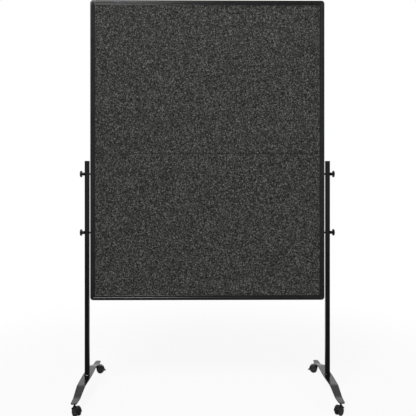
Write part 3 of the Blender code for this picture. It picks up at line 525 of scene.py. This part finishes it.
def upright_rail(node):
    """A side rail; a lower one has a slot at the back, in which the lock bar's stud slides."""
    low, high = seam_box(node)
    side = math.copysign(1.0, low[0] + high[0])
    inner = low[0] if side > 0 else high[0]
    turn = Matrix.Rotation(0.0 if side > 0 else math.pi, 4, "Z")
    place = Matrix.Translation((inner, 0.0, low[2])) @ turn
    cuts = []
    if node.startswith("lower"):
        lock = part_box("right_lock_bar" if side > 0 else "left_lock_bar")
        x = side * (abs(inner) + CHAMBER_MIDDLE)
        start = lock[1][2] - LOCK_DROP
        slot = box_mesh((x - LOCK_SLOT_HALF, 0.0, start - LOCK_SLOT_HALF),
                        (x + LOCK_SLOT_HALF, RAIL_BACK + 4.0 * MM, start + LOCK_TRAVEL + LOCK_SLOT_HALF))
        cuts.append(("DIFFERENCE", slot))
    dress(node, solid(node, prism_mesh(rail_section(), 0.0, high[2] - low[2], place), cuts))


def level_rail(node):
    """The top or bottom rail."""
    low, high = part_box(node)
    sign = math.copysign(1.0, (low[2] + high[2]) / 2 - SEAM_Z)
    inner = low[2] if sign > 0 else high[2]
    turn = Matrix.Rotation(-sign * math.pi / 2, 4, "Y")
    place = Matrix.Translation((0.0, 0.0, inner)) @ turn
    dress(node, solid(node, prism_mesh(rail_section(), low[0], high[0], place)))


def corner_block():
    """The rails' outer form carried round the corner, about the rounding's centre, and mitred inside it."""
    face = rail_face()
    section = face + [(x, -y) for x, y in reversed(face)]
    middle = RAIL_WIDTH - CORNER_RADIUS
    stations = [[(x, -CORNER_REACH, y) for x, y in section]]
    for step in range(CORNER_STEPS + 1):
        angle = math.radians(step * 90.0 / CORNER_STEPS)
        across, along = math.cos(angle), math.sin(angle)
        stations.append([(middle + (x - middle) * across, middle + (x - middle) * along, y) if x > middle
                         else (x, x, y) for x, y in section])
    stations.append([(-CORNER_REACH, x, y) for x, y in section])
    return loft_mesh(stations)


def corner_piece(node):
    """A moulded corner with rounded rims and one tenon in each rail's chamber."""
    low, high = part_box(node)
    side = math.copysign(1.0, low[0] + high[0])
    sign = math.copysign(1.0, (low[2] + high[2]) / 2 - SEAM_Z)
    inner = CHAMBER[0] + PLAY
    outer = CHAMBER[1] - PLAY
    depth = CHAMBER[2] - PLAY
    end = CORNER_REACH + TENON_LENGTH
    fillet = [(MM, MM), (-CORNER_REACH, 0.0), (0.0, -CORNER_REACH)]
    cuts = [("UNION", prism_mesh([fillet], -GROOVE_HALF, GROOVE_HALF)),
            ("UNION", box_mesh((inner, -end, -depth), (outer, TENON_ROOT, depth))),
            ("UNION", box_mesh((-end, inner, -depth), (TENON_ROOT, outer, depth)))]
    mesh = solid(node, corner_block(), cuts)
    x = high[0] if side > 0 else low[0]
    z = high[2] if sign > 0 else low[2]
    place = Matrix.Translation((x - side * RAIL_WIDTH, 0.0, z - sign * RAIL_WIDTH))
    mesh.transform(UPRIGHT @ Matrix.Diagonal((side, sign, 1.0, 1.0)))
    if side * sign < 0:
        mesh.flip_normals()
    dress(node, mesh, place)


for name in NODES:
    if name in LEVEL_RAILS:
        level_rail(name)
    elif name.endswith("_rail"):
        upright_rail(name)
    elif name.endswith("_corner"):
        corner_piece(name)
    elif name.endswith("_edge_strip"):
        edge_strip(name)


# Hinges and lock bars at the back of the side rails

LEAF_THICKNESS = 2.0 * MM
LEAF_EDGE = 0.4 * MM
KNUCKLE_RADIUS = 4.0 * MM
KNUCKLE_EDGE = 0.3 * MM
KNUCKLE_MIDDLE = 4.1 * MM  # half the length of the middle knuckle
PIN_RADIUS = 2.0 * MM
PIN_PLAY = 0.35 * MM
LOCK_STUD_RADIUS = 2.25 * MM
LOCK_BUTTON_RADIUS = 5.0 * MM
LOCK_BUTTON_EDGE = 0.8 * MM
LOCK_INSET = 1.9 * MM  # from the button's side to the bar's side
FOLD_Y = JOINTS["board_fold"]["pos_m"][1]


def fold_rods(radius, x, spans):
    """Rods on the fold axis, one for each span from x."""
    return [rod_mesh(radius, x + start, x + end, "X", (0.0, FOLD_Y, SEAM_Z)) for start, end in spans]


def hinge_leaf(node):
    """A leaf with its knuckles; a lower one also holds the pin."""
    low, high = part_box(node)
    x = (low[0] + high[0]) / 2
    half = (high[0] - low[0]) / 2
    inner = RAIL_BACK + TOUCH
    lower = node.startswith("lower")
    bottom, top = sorted((SEAM_Z, low[2] if lower else high[2]))
    plate = box_mesh((low[0], inner, bottom), (high[0], inner + LEAF_THICKNESS, top))
    ends = half + MM
    if lower:
        gap = KNUCKLE_MIDDLE + PLAY
        own = ((-half, -gap), (gap, half))
        cleared = ((-gap, gap),)
    else:
        own = ((-KNUCKLE_MIDDLE, KNUCKLE_MIDDLE),)
        cleared = ((-ends, -KNUCKLE_MIDDLE), (KNUCKLE_MIDDLE, ends))
    cuts = [("DIFFERENCE", rod) for rod in fold_rods(KNUCKLE_RADIUS + PLAY, x, cleared)]
    cuts += [("UNION", solid(node, rod, edge=KNUCKLE_EDGE)) for rod in fold_rods(KNUCKLE_RADIUS, x, own)]
    if lower:
        cuts += [("UNION", rod) for rod in fold_rods(PIN_RADIUS, x, ((MM - half, half - MM),))]
    else:
        cuts += [("DIFFERENCE", rod) for rod in fold_rods(PIN_RADIUS + PIN_PLAY, x, ((-ends, ends),))]
    dress(node, solid(node, solid(node, plate, edge=LEAF_EDGE), cuts))


def lock_bar(node):
    """The flat bar in the rail's chamber, with its stud and a rounded button behind the rail."""
    low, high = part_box(node)
    depth = CHAMBER[2] - PLAY
    seat = RAIL_BACK + PLAY
    axis = ((low[0] + high[0]) / 2, 0.0, high[2] - LOCK_DROP)
    button = rod_mesh(LOCK_BUTTON_RADIUS, seat, high[1], "Y", axis, 64)
    button = solid(node, button, edge=LOCK_BUTTON_EDGE)
    bar = box_mesh((low[0] + LOCK_INSET, -depth, low[2]), (high[0] - LOCK_INSET, depth, high[2]))
    stud = rod_mesh(LOCK_STUD_RADIUS, 0.0, seat + 2.0 * MM, "Y", axis)
    dress(node, solid(node, bar, [("UNION", stud), ("UNION", button)]))


for name in NODES:
    if name.endswith("_hinge_leaf"):
        hinge_leaf(name)
    if name.endswith("_lock_bar"):
        lock_bar(name)


# Hinge screws

SCREW_RADIUS = 2.6 * MM
SCREW_HEIGHT = 1.0 * MM
SCREW_SUNK = 0.4 * MM
SCREW_TURN = 0.6  # radians, of the slot
SCREW_DROPS = (14.0 * MM, 31.0 * MM)  # from the fold line


def hinge_screw(leaf, name, height):
    """A low slotted dome in the middle of a leaf's width."""
    profile = eased([(0.0, SCREW_HEIGHT), (1.6 * MM, 0.9 * MM), (SCREW_RADIUS, 0.0),
                     (SCREW_RADIUS, -SCREW_SUNK), (0.0, -SCREW_SUNK)], 0.3 * MM)
    slot = box_mesh((-4.0 * MM, -0.35 * MM, 0.45 * MM), (4.0 * MM, 0.35 * MM, 2.0 * MM))
    mesh = solid(name, lathe_mesh(profile, 32), [("DIFFERENCE", slot)])
    low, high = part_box(leaf)
    seat = Matrix.Translation(((low[0] + high[0]) / 2, RAIL_BACK + TOUCH + LEAF_THICKNESS, height))
    mesh.transform(seat @ Matrix.Rotation(-math.pi / 2, 4, "X") @ Matrix.Rotation(SCREW_TURN, 4, "Z"))
    mesh.materials.append(ZINC)
    piece = link(bpy.data.objects.new(name, mesh))
    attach(piece, BODY_OF[leaf])


for half, sign in HALVES.items():
    for side_name in SIDES:
        for number, drop in enumerate(SCREW_DROPS):
            hinge_screw(f"{half}_{side_name}_hinge_leaf", f"{half}_{side_name}_hinge_screw_{number}",
                        SEAM_Z + sign * drop)


# Stand

POST_CUT = 30.0 * MM  # how far a cross hole's cutter reaches on both sides of the post's axis
POST_WIDTH = 23.5 * MM
POST_DEPTH = 25.0 * MM
POST_RADIUS = 6.0 * MM
POST_WALL = 1.6 * MM
POST_GAP = 5.0 * MM  # from the post to the frame
POST_PLUG = (0.5 * MM, 18.0 * MM)  # bottom and top of the closed end, above the tube's end
SLEEVE_RADIUS = 4.8 * MM
STUD_RADIUS = 3.0 * MM
STUD_HOLE = 3.35 * MM
BOLT_RADIUS = 4.0 * MM
BOLT_HOLE = 4.35 * MM  # radius, in the posts and the feet; the castors' stems fit it too
BOLT_HOLE_DEPTH = 13.3 * MM  # in the posts
BOLT_HEAD_RADIUS = 6.5 * MM
BOLT_SOCKET = (3.4 * MM, 3.5 * MM)  # radius to its corners, and depth
STEM_RADIUS = 4.0 * MM
STEM_TIP_RADIUS = 2.6 * MM
CAP_HEIGHT = 3.0 * MM
CAP_EDGE = 1.2 * MM
FOOT_HALF = 289.0 * MM
FOOT_THICKNESS = 5.0 * MM
FOOT_EDGE = 1.2 * MM
FOOT_END_WIDTH = 28.0 * MM
FOOT_SWELL = 19.5 * MM  # how much wider the foot is under the post
FOOT_CROWN_TOP = 87.0 * MM
FOOT_END_TOP = 62.5 * MM
FOOT_BENDS = (138.0 * MM, 226.0 * MM)  # where the slope starts and ends, from the middle
FOOT_BEND_REACH = 10.0 * MM
FOOT_CROWN_STEP = 16.0 * MM  # between sections of the level middle
FOOT_LEVEL_ENDS = (250.0 * MM, 265.0 * MM)  # sections of the level ends
FOOT_NOSE = 9.0 * MM
LIP_HEIGHT = 4.5 * MM
LIP_WIDTH = 2.2 * MM
SOCKET_CUT = 9.0 * MM  # from the foot up past the lip
BOLT_CUT = (76.0 * MM, 95.0 * MM)  # heights below and above the foot's middle
STEM_CUT_START = 50.0 * MM  # a height below the foot's ends
BOSS_TOP = 41.5 * MM  # top of the castors' bosses
KNOB_RADIUS = 17.0 * MM
KNOB_DOME = 7.0 * MM
KNOB_FULLNESS = 0.4  # the lower, the flatter the dome and the fuller its rim
KNOB_RIM_END = 9.0 * MM  # depths from the top of the dome, here and in the next two
KNOB_HEAD_END = 10.0 * MM
KNOB_NECK_END = 24.5 * MM
KNOB_NECK_RADIUS = 8.0 * MM
KNOB_FLARE = 2.0 * MM


def middle_of(node):
    """The middle of a node's box."""
    low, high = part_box(node)
    return [(a + b) / 2 for a, b in zip(low, high)]


def post_outline(grow):
    """The post's outer outline, grown or, where grow is below zero, shrunk on every side."""
    return rounded_rectangle(POST_WIDTH + 2 * grow, POST_DEPTH + 2 * grow, POST_RADIUS + grow)


def post_prism(x, grow, low, high):
    """That outline about a post's axis at x, extruded from low to high."""
    return prism_mesh([post_outline(grow)], low, high, Matrix.Translation((x, 0.0, 0.0)))


def post(side_name, side):
    """A rounded tube, closed below, with a sleeve and a cross hole at each knob."""
    node = f"{side_name}_post"
    low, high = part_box(node)
    x = (low[0] if side > 0 else high[0]) + side * (POST_GAP - TOUCH + POST_WIDTH / 2)
    place = Matrix.Translation((x, 0.0, low[2]))
    tube = prism_mesh([post_outline(0.0), post_outline(-POST_WALL)], 0.0, high[2] - low[2], place)
    cuts = [("UNION", prism_mesh([post_outline(-POST_WALL / 2)], *POST_PLUG, place)),
            ("DIFFERENCE", rod_mesh(BOLT_HOLE, low[2] - 4.0 * MM, low[2] + BOLT_HOLE_DEPTH, "Z",
                                    (x, 0.0, 0.0)))]
    wall = x - side * (POST_WIDTH / 2 - POST_WALL / 2)
    end = x - side * (POST_WIDTH / 2 + POST_GAP - TOUCH)
    for level in LEVELS:
        axis = (0.0, 0.0, middle_of(f"{level}_{side_name}_knob")[2])
        cuts.append(("UNION", rod_mesh(SLEEVE_RADIUS, wall, end, "X", axis)))
        cuts.append(("DIFFERENCE", rod_mesh(STUD_HOLE, x - POST_CUT, x + POST_CUT, "X", axis)))
    dress(node, solid(node, tube, cuts))


def post_cap(side_name):
    """A cap with a rounded top edge and a plug inside the tube."""
    node = f"{side_name}_post_cap"
    low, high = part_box(node)
    x = (low[0] + high[0]) / 2
    head = high[2] - CAP_HEIGHT
    insets = [(0.0, head)]
    for outwards, upwards in arc((0.0, 0.0), (CAP_EDGE, CAP_EDGE), 0, 90, 5):
        insets.append((CAP_EDGE - outwards, high[2] - CAP_EDGE + upwards))
    rings = [[(x + px, py, height) for px, py in post_outline(-inset)] for inset, height in insets]
    plug = post_prism(x, -POST_WALL - PLAY, low[2], head + 1.5 * MM)
    dress(node, solid(node, loft_mesh(rings), [("UNION", plug)]))


def foot_ring(x, end, y, top, squeeze=0.0):
    """A section of the foot: end is -1 towards the front, and squeeze narrows it for the nose."""
    width = FOOT_END_WIDTH + FOOT_SWELL * (1.0 - (abs(y) / FOOT_HALF) ** 1.5)
    outline = rounded_rectangle(width - 2 * squeeze, FOOT_THICKNESS, FOOT_EDGE, 4)
    return [(x + px, end * y, top + pz - FOOT_THICKNESS / 2) for px, pz in outline]


def foot(side_name):
    """The bent bar with its rounded noses, the lip round the post, and the holes below."""
    node = f"{side_name}_foot"
    x = middle_of(f"{side_name}_post_cap")[0]
    bends = eased([(0.0, FOOT_CROWN_TOP), (FOOT_BENDS[0], FOOT_CROWN_TOP), (FOOT_BENDS[1], FOOT_END_TOP),
                   (FOOT_HALF, FOOT_END_TOP)], FOOT_BEND_REACH, 8)
    crown = [(step * FOOT_CROWN_STEP, FOOT_CROWN_TOP) for step in range(8)]
    level = [(y, FOOT_END_TOP) for y in FOOT_LEVEL_ENDS]
    halves = []
    for end in (-1, 1):
        rings = [foot_ring(x, end, y, top) for y, top in crown + bends[1:-1] + level]
        for back, forward in arc((0.0, 0.0), (FOOT_NOSE, FOOT_NOSE), 0, 86, 10):
            rings.append(foot_ring(x, end, FOOT_HALF - FOOT_NOSE + forward, FOOT_END_TOP, FOOT_NOSE - back))
        halves.append(rings)
    bar = loft_mesh(list(reversed(halves[0])) + halves[1][1:])
    lip_top = FOOT_CROWN_TOP + LIP_HEIGHT
    steps = eased([(LIP_WIDTH, FOOT_CROWN_TOP - FOOT_THICKNESS / 2), (LIP_WIDTH, lip_top - 1.9 * MM),
                   (0.9 * MM, lip_top - 0.2 * MM), (0.5 * MM, lip_top)], 0.25 * MM, 3)
    lip = loft_mesh([[(x + px, py, height) for px, py in post_outline(TOUCH + grow)]
                     for grow, height in steps])
    socket = post_prism(x, TOUCH, FOOT_CROWN_TOP, FOOT_CROWN_TOP + SOCKET_CUT)
    cuts = [("UNION", lip), ("DIFFERENCE", socket),
            ("DIFFERENCE", rod_mesh(BOLT_HOLE, *BOLT_CUT, "Z", (x, 0.0, 0.0)))]
    for end_name in ENDS:
        y = JOINTS[f"{end_name}_{side_name}_swivel"]["pos_m"][1]
        cuts.append(("DIFFERENCE", rod_mesh(BOLT_HOLE, STEM_CUT_START, FOOT_END_TOP - MM, "Z", (x, y, 0.0))))
    dress(node, solid(node, bar, cuts))


def knob(node, side):
    """A mushroom knob on its stud: domed head, rounded rim, flared neck."""
    low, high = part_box(node)
    length = high[0] - low[0]
    dome = [(0.0, 0.0)]
    for degrees in range(6, 90, 6):
        angle = math.radians(degrees)
        dome.append((KNOB_RADIUS * math.sin(angle), KNOB_DOME * math.cos(angle) ** KNOB_FULLNESS - KNOB_DOME))
    rest = [(KNOB_RADIUS, -KNOB_DOME), (KNOB_RADIUS, -KNOB_RIM_END),
            (KNOB_RADIUS - 1.5 * MM, -KNOB_HEAD_END), (KNOB_NECK_RADIUS, -KNOB_HEAD_END),
            (KNOB_NECK_RADIUS, KNOB_FLARE - KNOB_NECK_END), (KNOB_NECK_RADIUS + KNOB_FLARE, -KNOB_NECK_END),
            (STUD_RADIUS, -KNOB_NECK_END), (STUD_RADIUS, 0.8 * MM - length),
            (STUD_RADIUS - 0.8 * MM, -length), (0.0, -length)]
    tip = Matrix.Translation((high[0] if side > 0 else low[0], 0.0, (low[2] + high[2]) / 2))
    place = tip @ Matrix.Rotation(side * math.pi / 2, 4, "Y")
    dress(node, smooth(lathe_mesh(dome + eased(rest, 0.8 * MM))), place)


def foot_bolt(node):
    """A bolt up into the post, its head under the foot with a six-sided socket."""
    low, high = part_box(node)
    place = Matrix.Translation(((low[0] + high[0]) / 2, 0.0, 0.0))
    seat = FOOT_CROWN_TOP - FOOT_THICKNESS - TOUCH
    profile = eased([(0.0, high[2]), (BOLT_RADIUS - 0.6 * MM, high[2]), (BOLT_RADIUS, high[2] - 0.8 * MM),
                     (BOLT_RADIUS, seat), (BOLT_HEAD_RADIUS, seat), (BOLT_HEAD_RADIUS, low[2]),
                     (0.0, low[2])], 0.5 * MM)
    radius, depth = BOLT_SOCKET
    socket = arc((0.0, 0.0), (radius, radius), 0, 300, 5)
    cut = prism_mesh([socket], low[2] - MM, low[2] + depth)
    dress(node, solid(node, lathe_mesh(profile), [("DIFFERENCE", cut)]), place)


def castor_stem(node):
    """A steel pin from the foot down into the castor's boss, thinner there, with eased ends."""
    low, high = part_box(node)
    shoulder = BOSS_TOP + TOUCH
    profile = eased([(0.0, high[2]), (STEM_RADIUS, high[2]), (STEM_RADIUS, shoulder),
                     (STEM_TIP_RADIUS, shoulder), (STEM_TIP_RADIUS, low[2] + 0.8 * MM),
                     (STEM_TIP_RADIUS - 0.8 * MM, low[2]), (0.0, low[2])], 0.5 * MM)
    x, y = middle_of(node)[:2]
    dress(node, smooth(lathe_mesh(profile)), Matrix.Translation((x, y, 0.0)))


for side_name, side in SIDES.items():
    post(side_name, side)
    post_cap(side_name)
    foot(side_name)
    foot_bolt(f"{side_name}_foot_bolt")
    for end_name in ENDS:
        castor_stem(f"{end_name}_{side_name}_castor_stem")
    for level in LEVELS:
        knob(f"{level}_{side_name}_knob", side)


# Castors, each in its own axes: origin on the floor under the stem, x towards the axle

WHEEL_RADIUS = 20.0 * MM
WHEEL_WIDTH = 9.6 * MM
WHEEL_INNER = 4.6 * MM  # from the middle of the castor to a wheel
TREAD_EDGE = 1.6 * MM
RIM_RADIUS = 16.0 * MM
HUB_RADIUS = 7.0 * MM
DISH_DEPTH = 1.8 * MM
HUB_DEPTH = 0.9 * MM  # of the hub's face below the rim's
HUB_WALL = 2.4 * MM  # from the rim's face to the blind end of the bore
TRAIL = 15.0 * MM
AXLE = (TRAIL, 0.0, WHEEL_RADIUS)
AXLE_RADIUS = 3.0 * MM
AXLE_HALF = 11.4 * MM
AXLE_HOLE = 3.35 * MM  # radius, in the wheels and the pedals
HOOD_INNER = 20.9 * MM
HOOD_OUTER = 24.0 * MM
HOOD_MIDDLE = (HOOD_INNER + HOOD_OUTER) / 2
HOOD_HALF = 14.5 * MM
WEB_HALF = 4.0 * MM
BRAKED_WEB = 0.2 * MM  # how far the web reaches on the pedal's side
LAP = 0.2 * MM  # how far the boss overlaps hood and web
BOSS_RADIUS = 8.0 * MM
BOSS_HEIGHT = 13.0 * MM
STEM_BORE = 2.95 * MM
STEM_BORE_DEPTH = 10.0 * MM
STEM_BORE_CUT = 47.0 * MM  # a height above the boss
CUT_REACH = 20.0 * MM  # how far to the side a cutter reaches
PEDAL_HUB_RADIUS = 6.55 * MM
SHOE_HALF = 10.0 * MM  # half its width, as in the next line
TONGUE_HALF = 7.0 * MM
TONGUE_REACH = 6.5 * MM  # out of the hood's outer radius


def axle_arc(radius, start, end, steps=1):
    """Points about the axle, seen from the castor's side."""
    return arc((TRAIL, WHEEL_RADIUS), (radius, radius), start, end, steps)


def wells(radius, far_face, near_face):
    """Cutters for the space of both wheels, which leave what is between two faces."""
    return [("DIFFERENCE", rod_mesh(radius, -CUT_REACH, far_face, "Y", AXLE, 80)),
            ("DIFFERENCE", rod_mesh(radius, near_face, CUT_REACH, "Y", AXLE, 80))]


def castor_housing(node, place, braked):
    """Hood, web and stem boss in one moulding, with its axle."""
    outline = axle_arc(HOOD_OUTER, 8, 150, 40) + axle_arc(WHEEL_RADIUS, 150, 150)[:1]
    shares = ((-0.29, 1.5), (0.35, 0.62), (0.98, 0.46), (1.55, 0.7))
    outline += [(TRAIL * along, WHEEL_RADIUS * up) for along, up in shares]
    outline += axle_arc(WHEEL_RADIUS, 8, 8)[:1]
    stem_axis = (0.0, 0.0, 0.0)
    boss = solid(node, rod_mesh(BOSS_RADIUS, BOSS_TOP - BOSS_HEIGHT, BOSS_TOP, "Z", stem_axis, 64),
                 wells(HOOD_INNER - LAP, LAP - WEB_HALF, WEB_HALF - LAP))
    bore = rod_mesh(STEM_BORE, BOSS_TOP - STEM_BORE_DEPTH, STEM_BORE_CUT, "Z", stem_axis)
    axle = rod_mesh(AXLE_RADIUS, -AXLE_HALF, AXLE_HALF, "Y", AXLE)
    cuts = wells(HOOD_INNER, -BRAKED_WEB if braked else -WEB_HALF, WEB_HALF)
    cuts += [("UNION", boss), ("DIFFERENCE", bore), ("UNION", axle)]
    mesh = solid(node, prism_mesh([outline], -HOOD_HALF, HOOD_HALF, UPRIGHT), cuts, edge=0.5 * MM)
    dress(node, mesh, place)


def wheel(node, place, face):
    """A wheel with a rounded tread, a dished outer face and a small hub."""
    width = WHEEL_WIDTH
    profile = [(0.0, width - HUB_DEPTH), (HUB_RADIUS, width - HUB_DEPTH), (HUB_RADIUS, width - DISH_DEPTH),
               (RIM_RADIUS, width - DISH_DEPTH), (RIM_RADIUS, width), (WHEEL_RADIUS - TREAD_EDGE, width),
               (WHEEL_RADIUS, width - TREAD_EDGE), (WHEEL_RADIUS, TREAD_EDGE),
               (WHEEL_RADIUS - TREAD_EDGE, 0.0), (AXLE_HOLE, 0.0), (AXLE_HOLE, width - HUB_WALL),
               (0.0, width - HUB_WALL)]
    mesh = smooth(lathe_mesh(eased(profile, 0.7 * MM), 80))
    seat = Matrix.Translation((TRAIL, face * WHEEL_INNER, WHEEL_RADIUS))
    dress(node, mesh, place @ seat @ Matrix.Rotation(-face * math.pi / 2, 4, "X"))


def brake_pedal(node, place):
    """Arm beside the web, shoe below the hood, and the tongue that the foot presses."""
    arm = axle_arc(PEDAL_HUB_RADIUS, 63.5, 282, 20) + axle_arc(HOOD_MIDDLE, -16, 1.5, 4)
    hole = axle_arc(AXLE_HOLE, 0, 352, 44)
    shoe = axle_arc(HOOD_OUTER, -18, 3.5, 8) + axle_arc(HOOD_INNER, 3.5, -18, 8)
    tongue = axle_arc(HOOD_OUTER + TONGUE_REACH, -18, -8.5, 5) + axle_arc(HOOD_MIDDLE, -8.5, -17, 5)
    cuts = [("UNION", prism_mesh([shoe], -SHOE_HALF, SHOE_HALF, UPRIGHT)),
            ("UNION", prism_mesh([tongue], -TONGUE_HALF, TONGUE_HALF, UPRIGHT))]
    mesh = solid(node, prism_mesh([arm, hole], BRAKED_WEB + PLAY, WEB_HALF, UPRIGHT), cuts, edge=0.4 * MM)
    dress(node, mesh, place)


for end_name in ENDS:
    for side_name in SIDES:
        corner = f"{end_name}_{side_name}"
        stem = Vector(JOINTS[f"{corner}_swivel"]["pos_m"])
        axle = Vector(JOINTS[f"{corner}_roll_a"]["pos_m"])
        heading = math.atan2(axle.y - stem.y, axle.x - stem.x)
        place = Matrix.Translation((stem.x, stem.y, 0.0)) @ Matrix.Rotation(heading, 4, "Z")
        castor_housing(f"{corner}_castor_housing", place, end_name == "rear")
        wheel(f"{corner}_wheel_a", place, -1)
        wheel(f"{corner}_wheel_b", place, 1)
        if end_name == "rear":
            brake_pedal(f"{corner}_brake_pedal", place)


# Stage, lights and camera

FLOOR_SIZE = 14.0
FLOOR_COLOUR = (0.9, 0.9, 0.9)
FLOOR_WHITE = 0.91  # share of plain white in the floor near the object, as the camera sees it
FLOOR_FADE = (0.9, 2.4)  # distances from the origin between which that share rises to 1
FLOOR_IN_GLOSS = 0.08  # how bright the floor in front of the object shows in gloss
FLOOR_TURN = (0.3, 0.9)  # where, on the way to the back, it turns white in gloss
ROOM_LIGHT = 0.32  # the room's even light
ROOM_IN_FRONT = 0.32  # how bright the room straight in front of the object shows in gloss
ROOM_BESIDE = 0.03  # and how bright to the left and right of that
FRONT_EDGE = (-0.9, -0.5)  # Y of the direction, from straight in front to beside
BACK_EDGE = (0.3, 0.7)  # X of the direction, either way, from the backdrop to beside
ROOM_TURN = (0.15, 0.75)  # Y of the direction, from the front half to the backdrop's half


def rise(tree, source, span, low=0.0):
    """A smooth step from low to 1 as the source passes over the span."""
    node = tree.nodes.new("ShaderNodeMapRange")
    node.interpolation_type = "SMOOTHSTEP"
    for socket, value in (("From Min", span[0]), ("From Max", span[1]), ("To Min", low), ("To Max", 1.0)):
        node.inputs[socket].default_value = value
    join(tree, source, node.inputs["Value"])
    return node.outputs["Result"]


def mix_shaders(tree, factor, first, second):
    """Two shaders mixed by a factor."""
    mix = tree.nodes.new("ShaderNodeMixShader")
    join(tree, factor, mix.inputs["Fac"])
    join(tree, first, mix.inputs[1])
    join(tree, second, mix.inputs[2])
    return mix.outputs["Shader"]


def glow_shader(tree, kind, strength):
    """A shader that gives even white light."""
    node = tree.nodes.new(kind)
    node.inputs["Color"].default_value = (1.0, 1.0, 1.0, 1.0)
    node.inputs["Strength"].default_value = strength
    return node.outputs[0]


def axes_of(tree, vector):
    """A vector's X, Y and Z."""
    node = tree.nodes.new("ShaderNodeSeparateXYZ")
    join(tree, vector, node.inputs["Vector"])
    return node.outputs


def floor_material():
    """White to the camera, with some of its own shading near the object; in gloss dim in front of it."""
    material = bpy.data.materials.new("floor")
    material.use_nodes = True
    tree = material.node_tree
    tree.nodes.clear()
    matte = tree.nodes.new("ShaderNodeBsdfDiffuse")
    matte.inputs["Color"].default_value = (*FLOOR_COLOUR, 1.0)
    matte = matte.outputs["BSDF"]
    white = glow_shader(tree, "ShaderNodeEmission", 1.0)
    dim = glow_shader(tree, "ShaderNodeEmission", FLOOR_IN_GLOSS)
    place = tree.nodes.new("ShaderNodeTexCoord").outputs["Object"]
    away = tree.nodes.new("ShaderNodeVectorMath")
    away.operation = "LENGTH"
    join(tree, place, away.inputs[0])
    seen = mix_shaders(tree, rise(tree, away.outputs["Value"], FLOOR_FADE, FLOOR_WHITE), matte, white)
    gloss = mix_shaders(tree, rise(tree, axes_of(tree, place)["Y"], FLOOR_TURN), dim, white)
    path = tree.nodes.new("ShaderNodeLightPath").outputs
    shader = mix_shaders(tree, path["Is Glossy Ray"], matte, gloss)
    shader = mix_shaders(tree, path["Is Camera Ray"], shader, seen)
    out = tree.nodes.new("ShaderNodeOutputMaterial")
    join(tree, shader, out.inputs["Surface"])
    return material


def floor_plane():
    """A large level plane at height 0 that takes only faint shadows."""
    mesh = bpy.data.meshes.new("floor")
    bm = bmesh.new()
    bmesh.ops.create_grid(bm, x_segments=1, y_segments=1, size=FLOOR_SIZE / 2)
    bm.to_mesh(mesh)
    bm.free()
    mesh.materials.append(floor_material())
    return link(bpy.data.objects.new("floor", mesh))


def studio_world():
    """White behind the object, for the camera and in gloss; in gloss dimmer in front and dark beside."""
    world = bpy.data.worlds.new("studio")
    world.use_nodes = True
    tree = world.node_tree
    tree.nodes.clear()
    soft = glow_shader(tree, "ShaderNodeBackground", ROOM_LIGHT)
    centre = glow_shader(tree, "ShaderNodeBackground", ROOM_IN_FRONT)
    beside = glow_shader(tree, "ShaderNodeBackground", ROOM_BESIDE)
    backdrop = glow_shader(tree, "ShaderNodeBackground", 1.0)
    direction = axes_of(tree, tree.nodes.new("ShaderNodeTexCoord").outputs["Generated"])
    sideways = tree.nodes.new("ShaderNodeMath")
    sideways.operation = "ABSOLUTE"
    join(tree, direction["X"], sideways.inputs[0])
    front = mix_shaders(tree, rise(tree, direction["Y"], FRONT_EDGE), centre, beside)
    behind = mix_shaders(tree, rise(tree, sideways.outputs["Value"], BACK_EDGE), backdrop, beside)
    gloss = mix_shaders(tree, rise(tree, direction["Y"], ROOM_TURN), front, behind)
    path = tree.nodes.new("ShaderNodeLightPath").outputs
    seen = mix_shaders(tree, path["Is Glossy Ray"], soft, gloss)
    seen = mix_shaders(tree, path["Is Transmission Ray"], seen, backdrop)
    seen = mix_shaders(tree, path["Is Camera Ray"], seen, backdrop)
    out = tree.nodes.new("ShaderNodeOutputWorld")
    join(tree, seen, out.inputs["Surface"])
    return world


def area_light(name, location, target, size, power):
    """A rectangular lamp that faces its target."""
    data = bpy.data.lights.new(name, "AREA")
    data.shape = "RECTANGLE"
    data.size, data.size_y = size
    data.energy = power
    obj = link(bpy.data.objects.new(name, data))
    obj.location = location
    obj.rotation_euler = (Vector(target) - Vector(location)).to_track_quat("-Z", "Y").to_euler()
    return obj


floor_plane()
scene.world = studio_world()
area_light("key", location=(-1.15, -3.0, 4.5), target=(0.0, 0.0, 1.1), size=(1.4, 1.4), power=106.0)
fill = area_light("fill", location=(2.6, -3.2, 0.9), target=(0.0, 0.0, 0.8), size=(1.8, 1.6), power=32.0)
fill.visible_glossy = False

camera_data = bpy.data.cameras.new("camera")
camera_data.sensor_width = SENSOR_WIDTH
camera_data.lens = LENS
camera_data.shift_x = SIDE_SHIFT
camera_data.shift_y = HORIZON_SHIFT
camera = link(bpy.data.objects.new("camera", camera_data))
turn = math.radians(CAMERA_TURN)
camera.location = (CAMERA_DISTANCE * math.sin(turn), -CAMERA_DISTANCE * math.cos(turn), CAMERA_HEIGHT)
camera.rotation_euler = (math.pi / 2, 0.0, turn)
scene.camera = camera
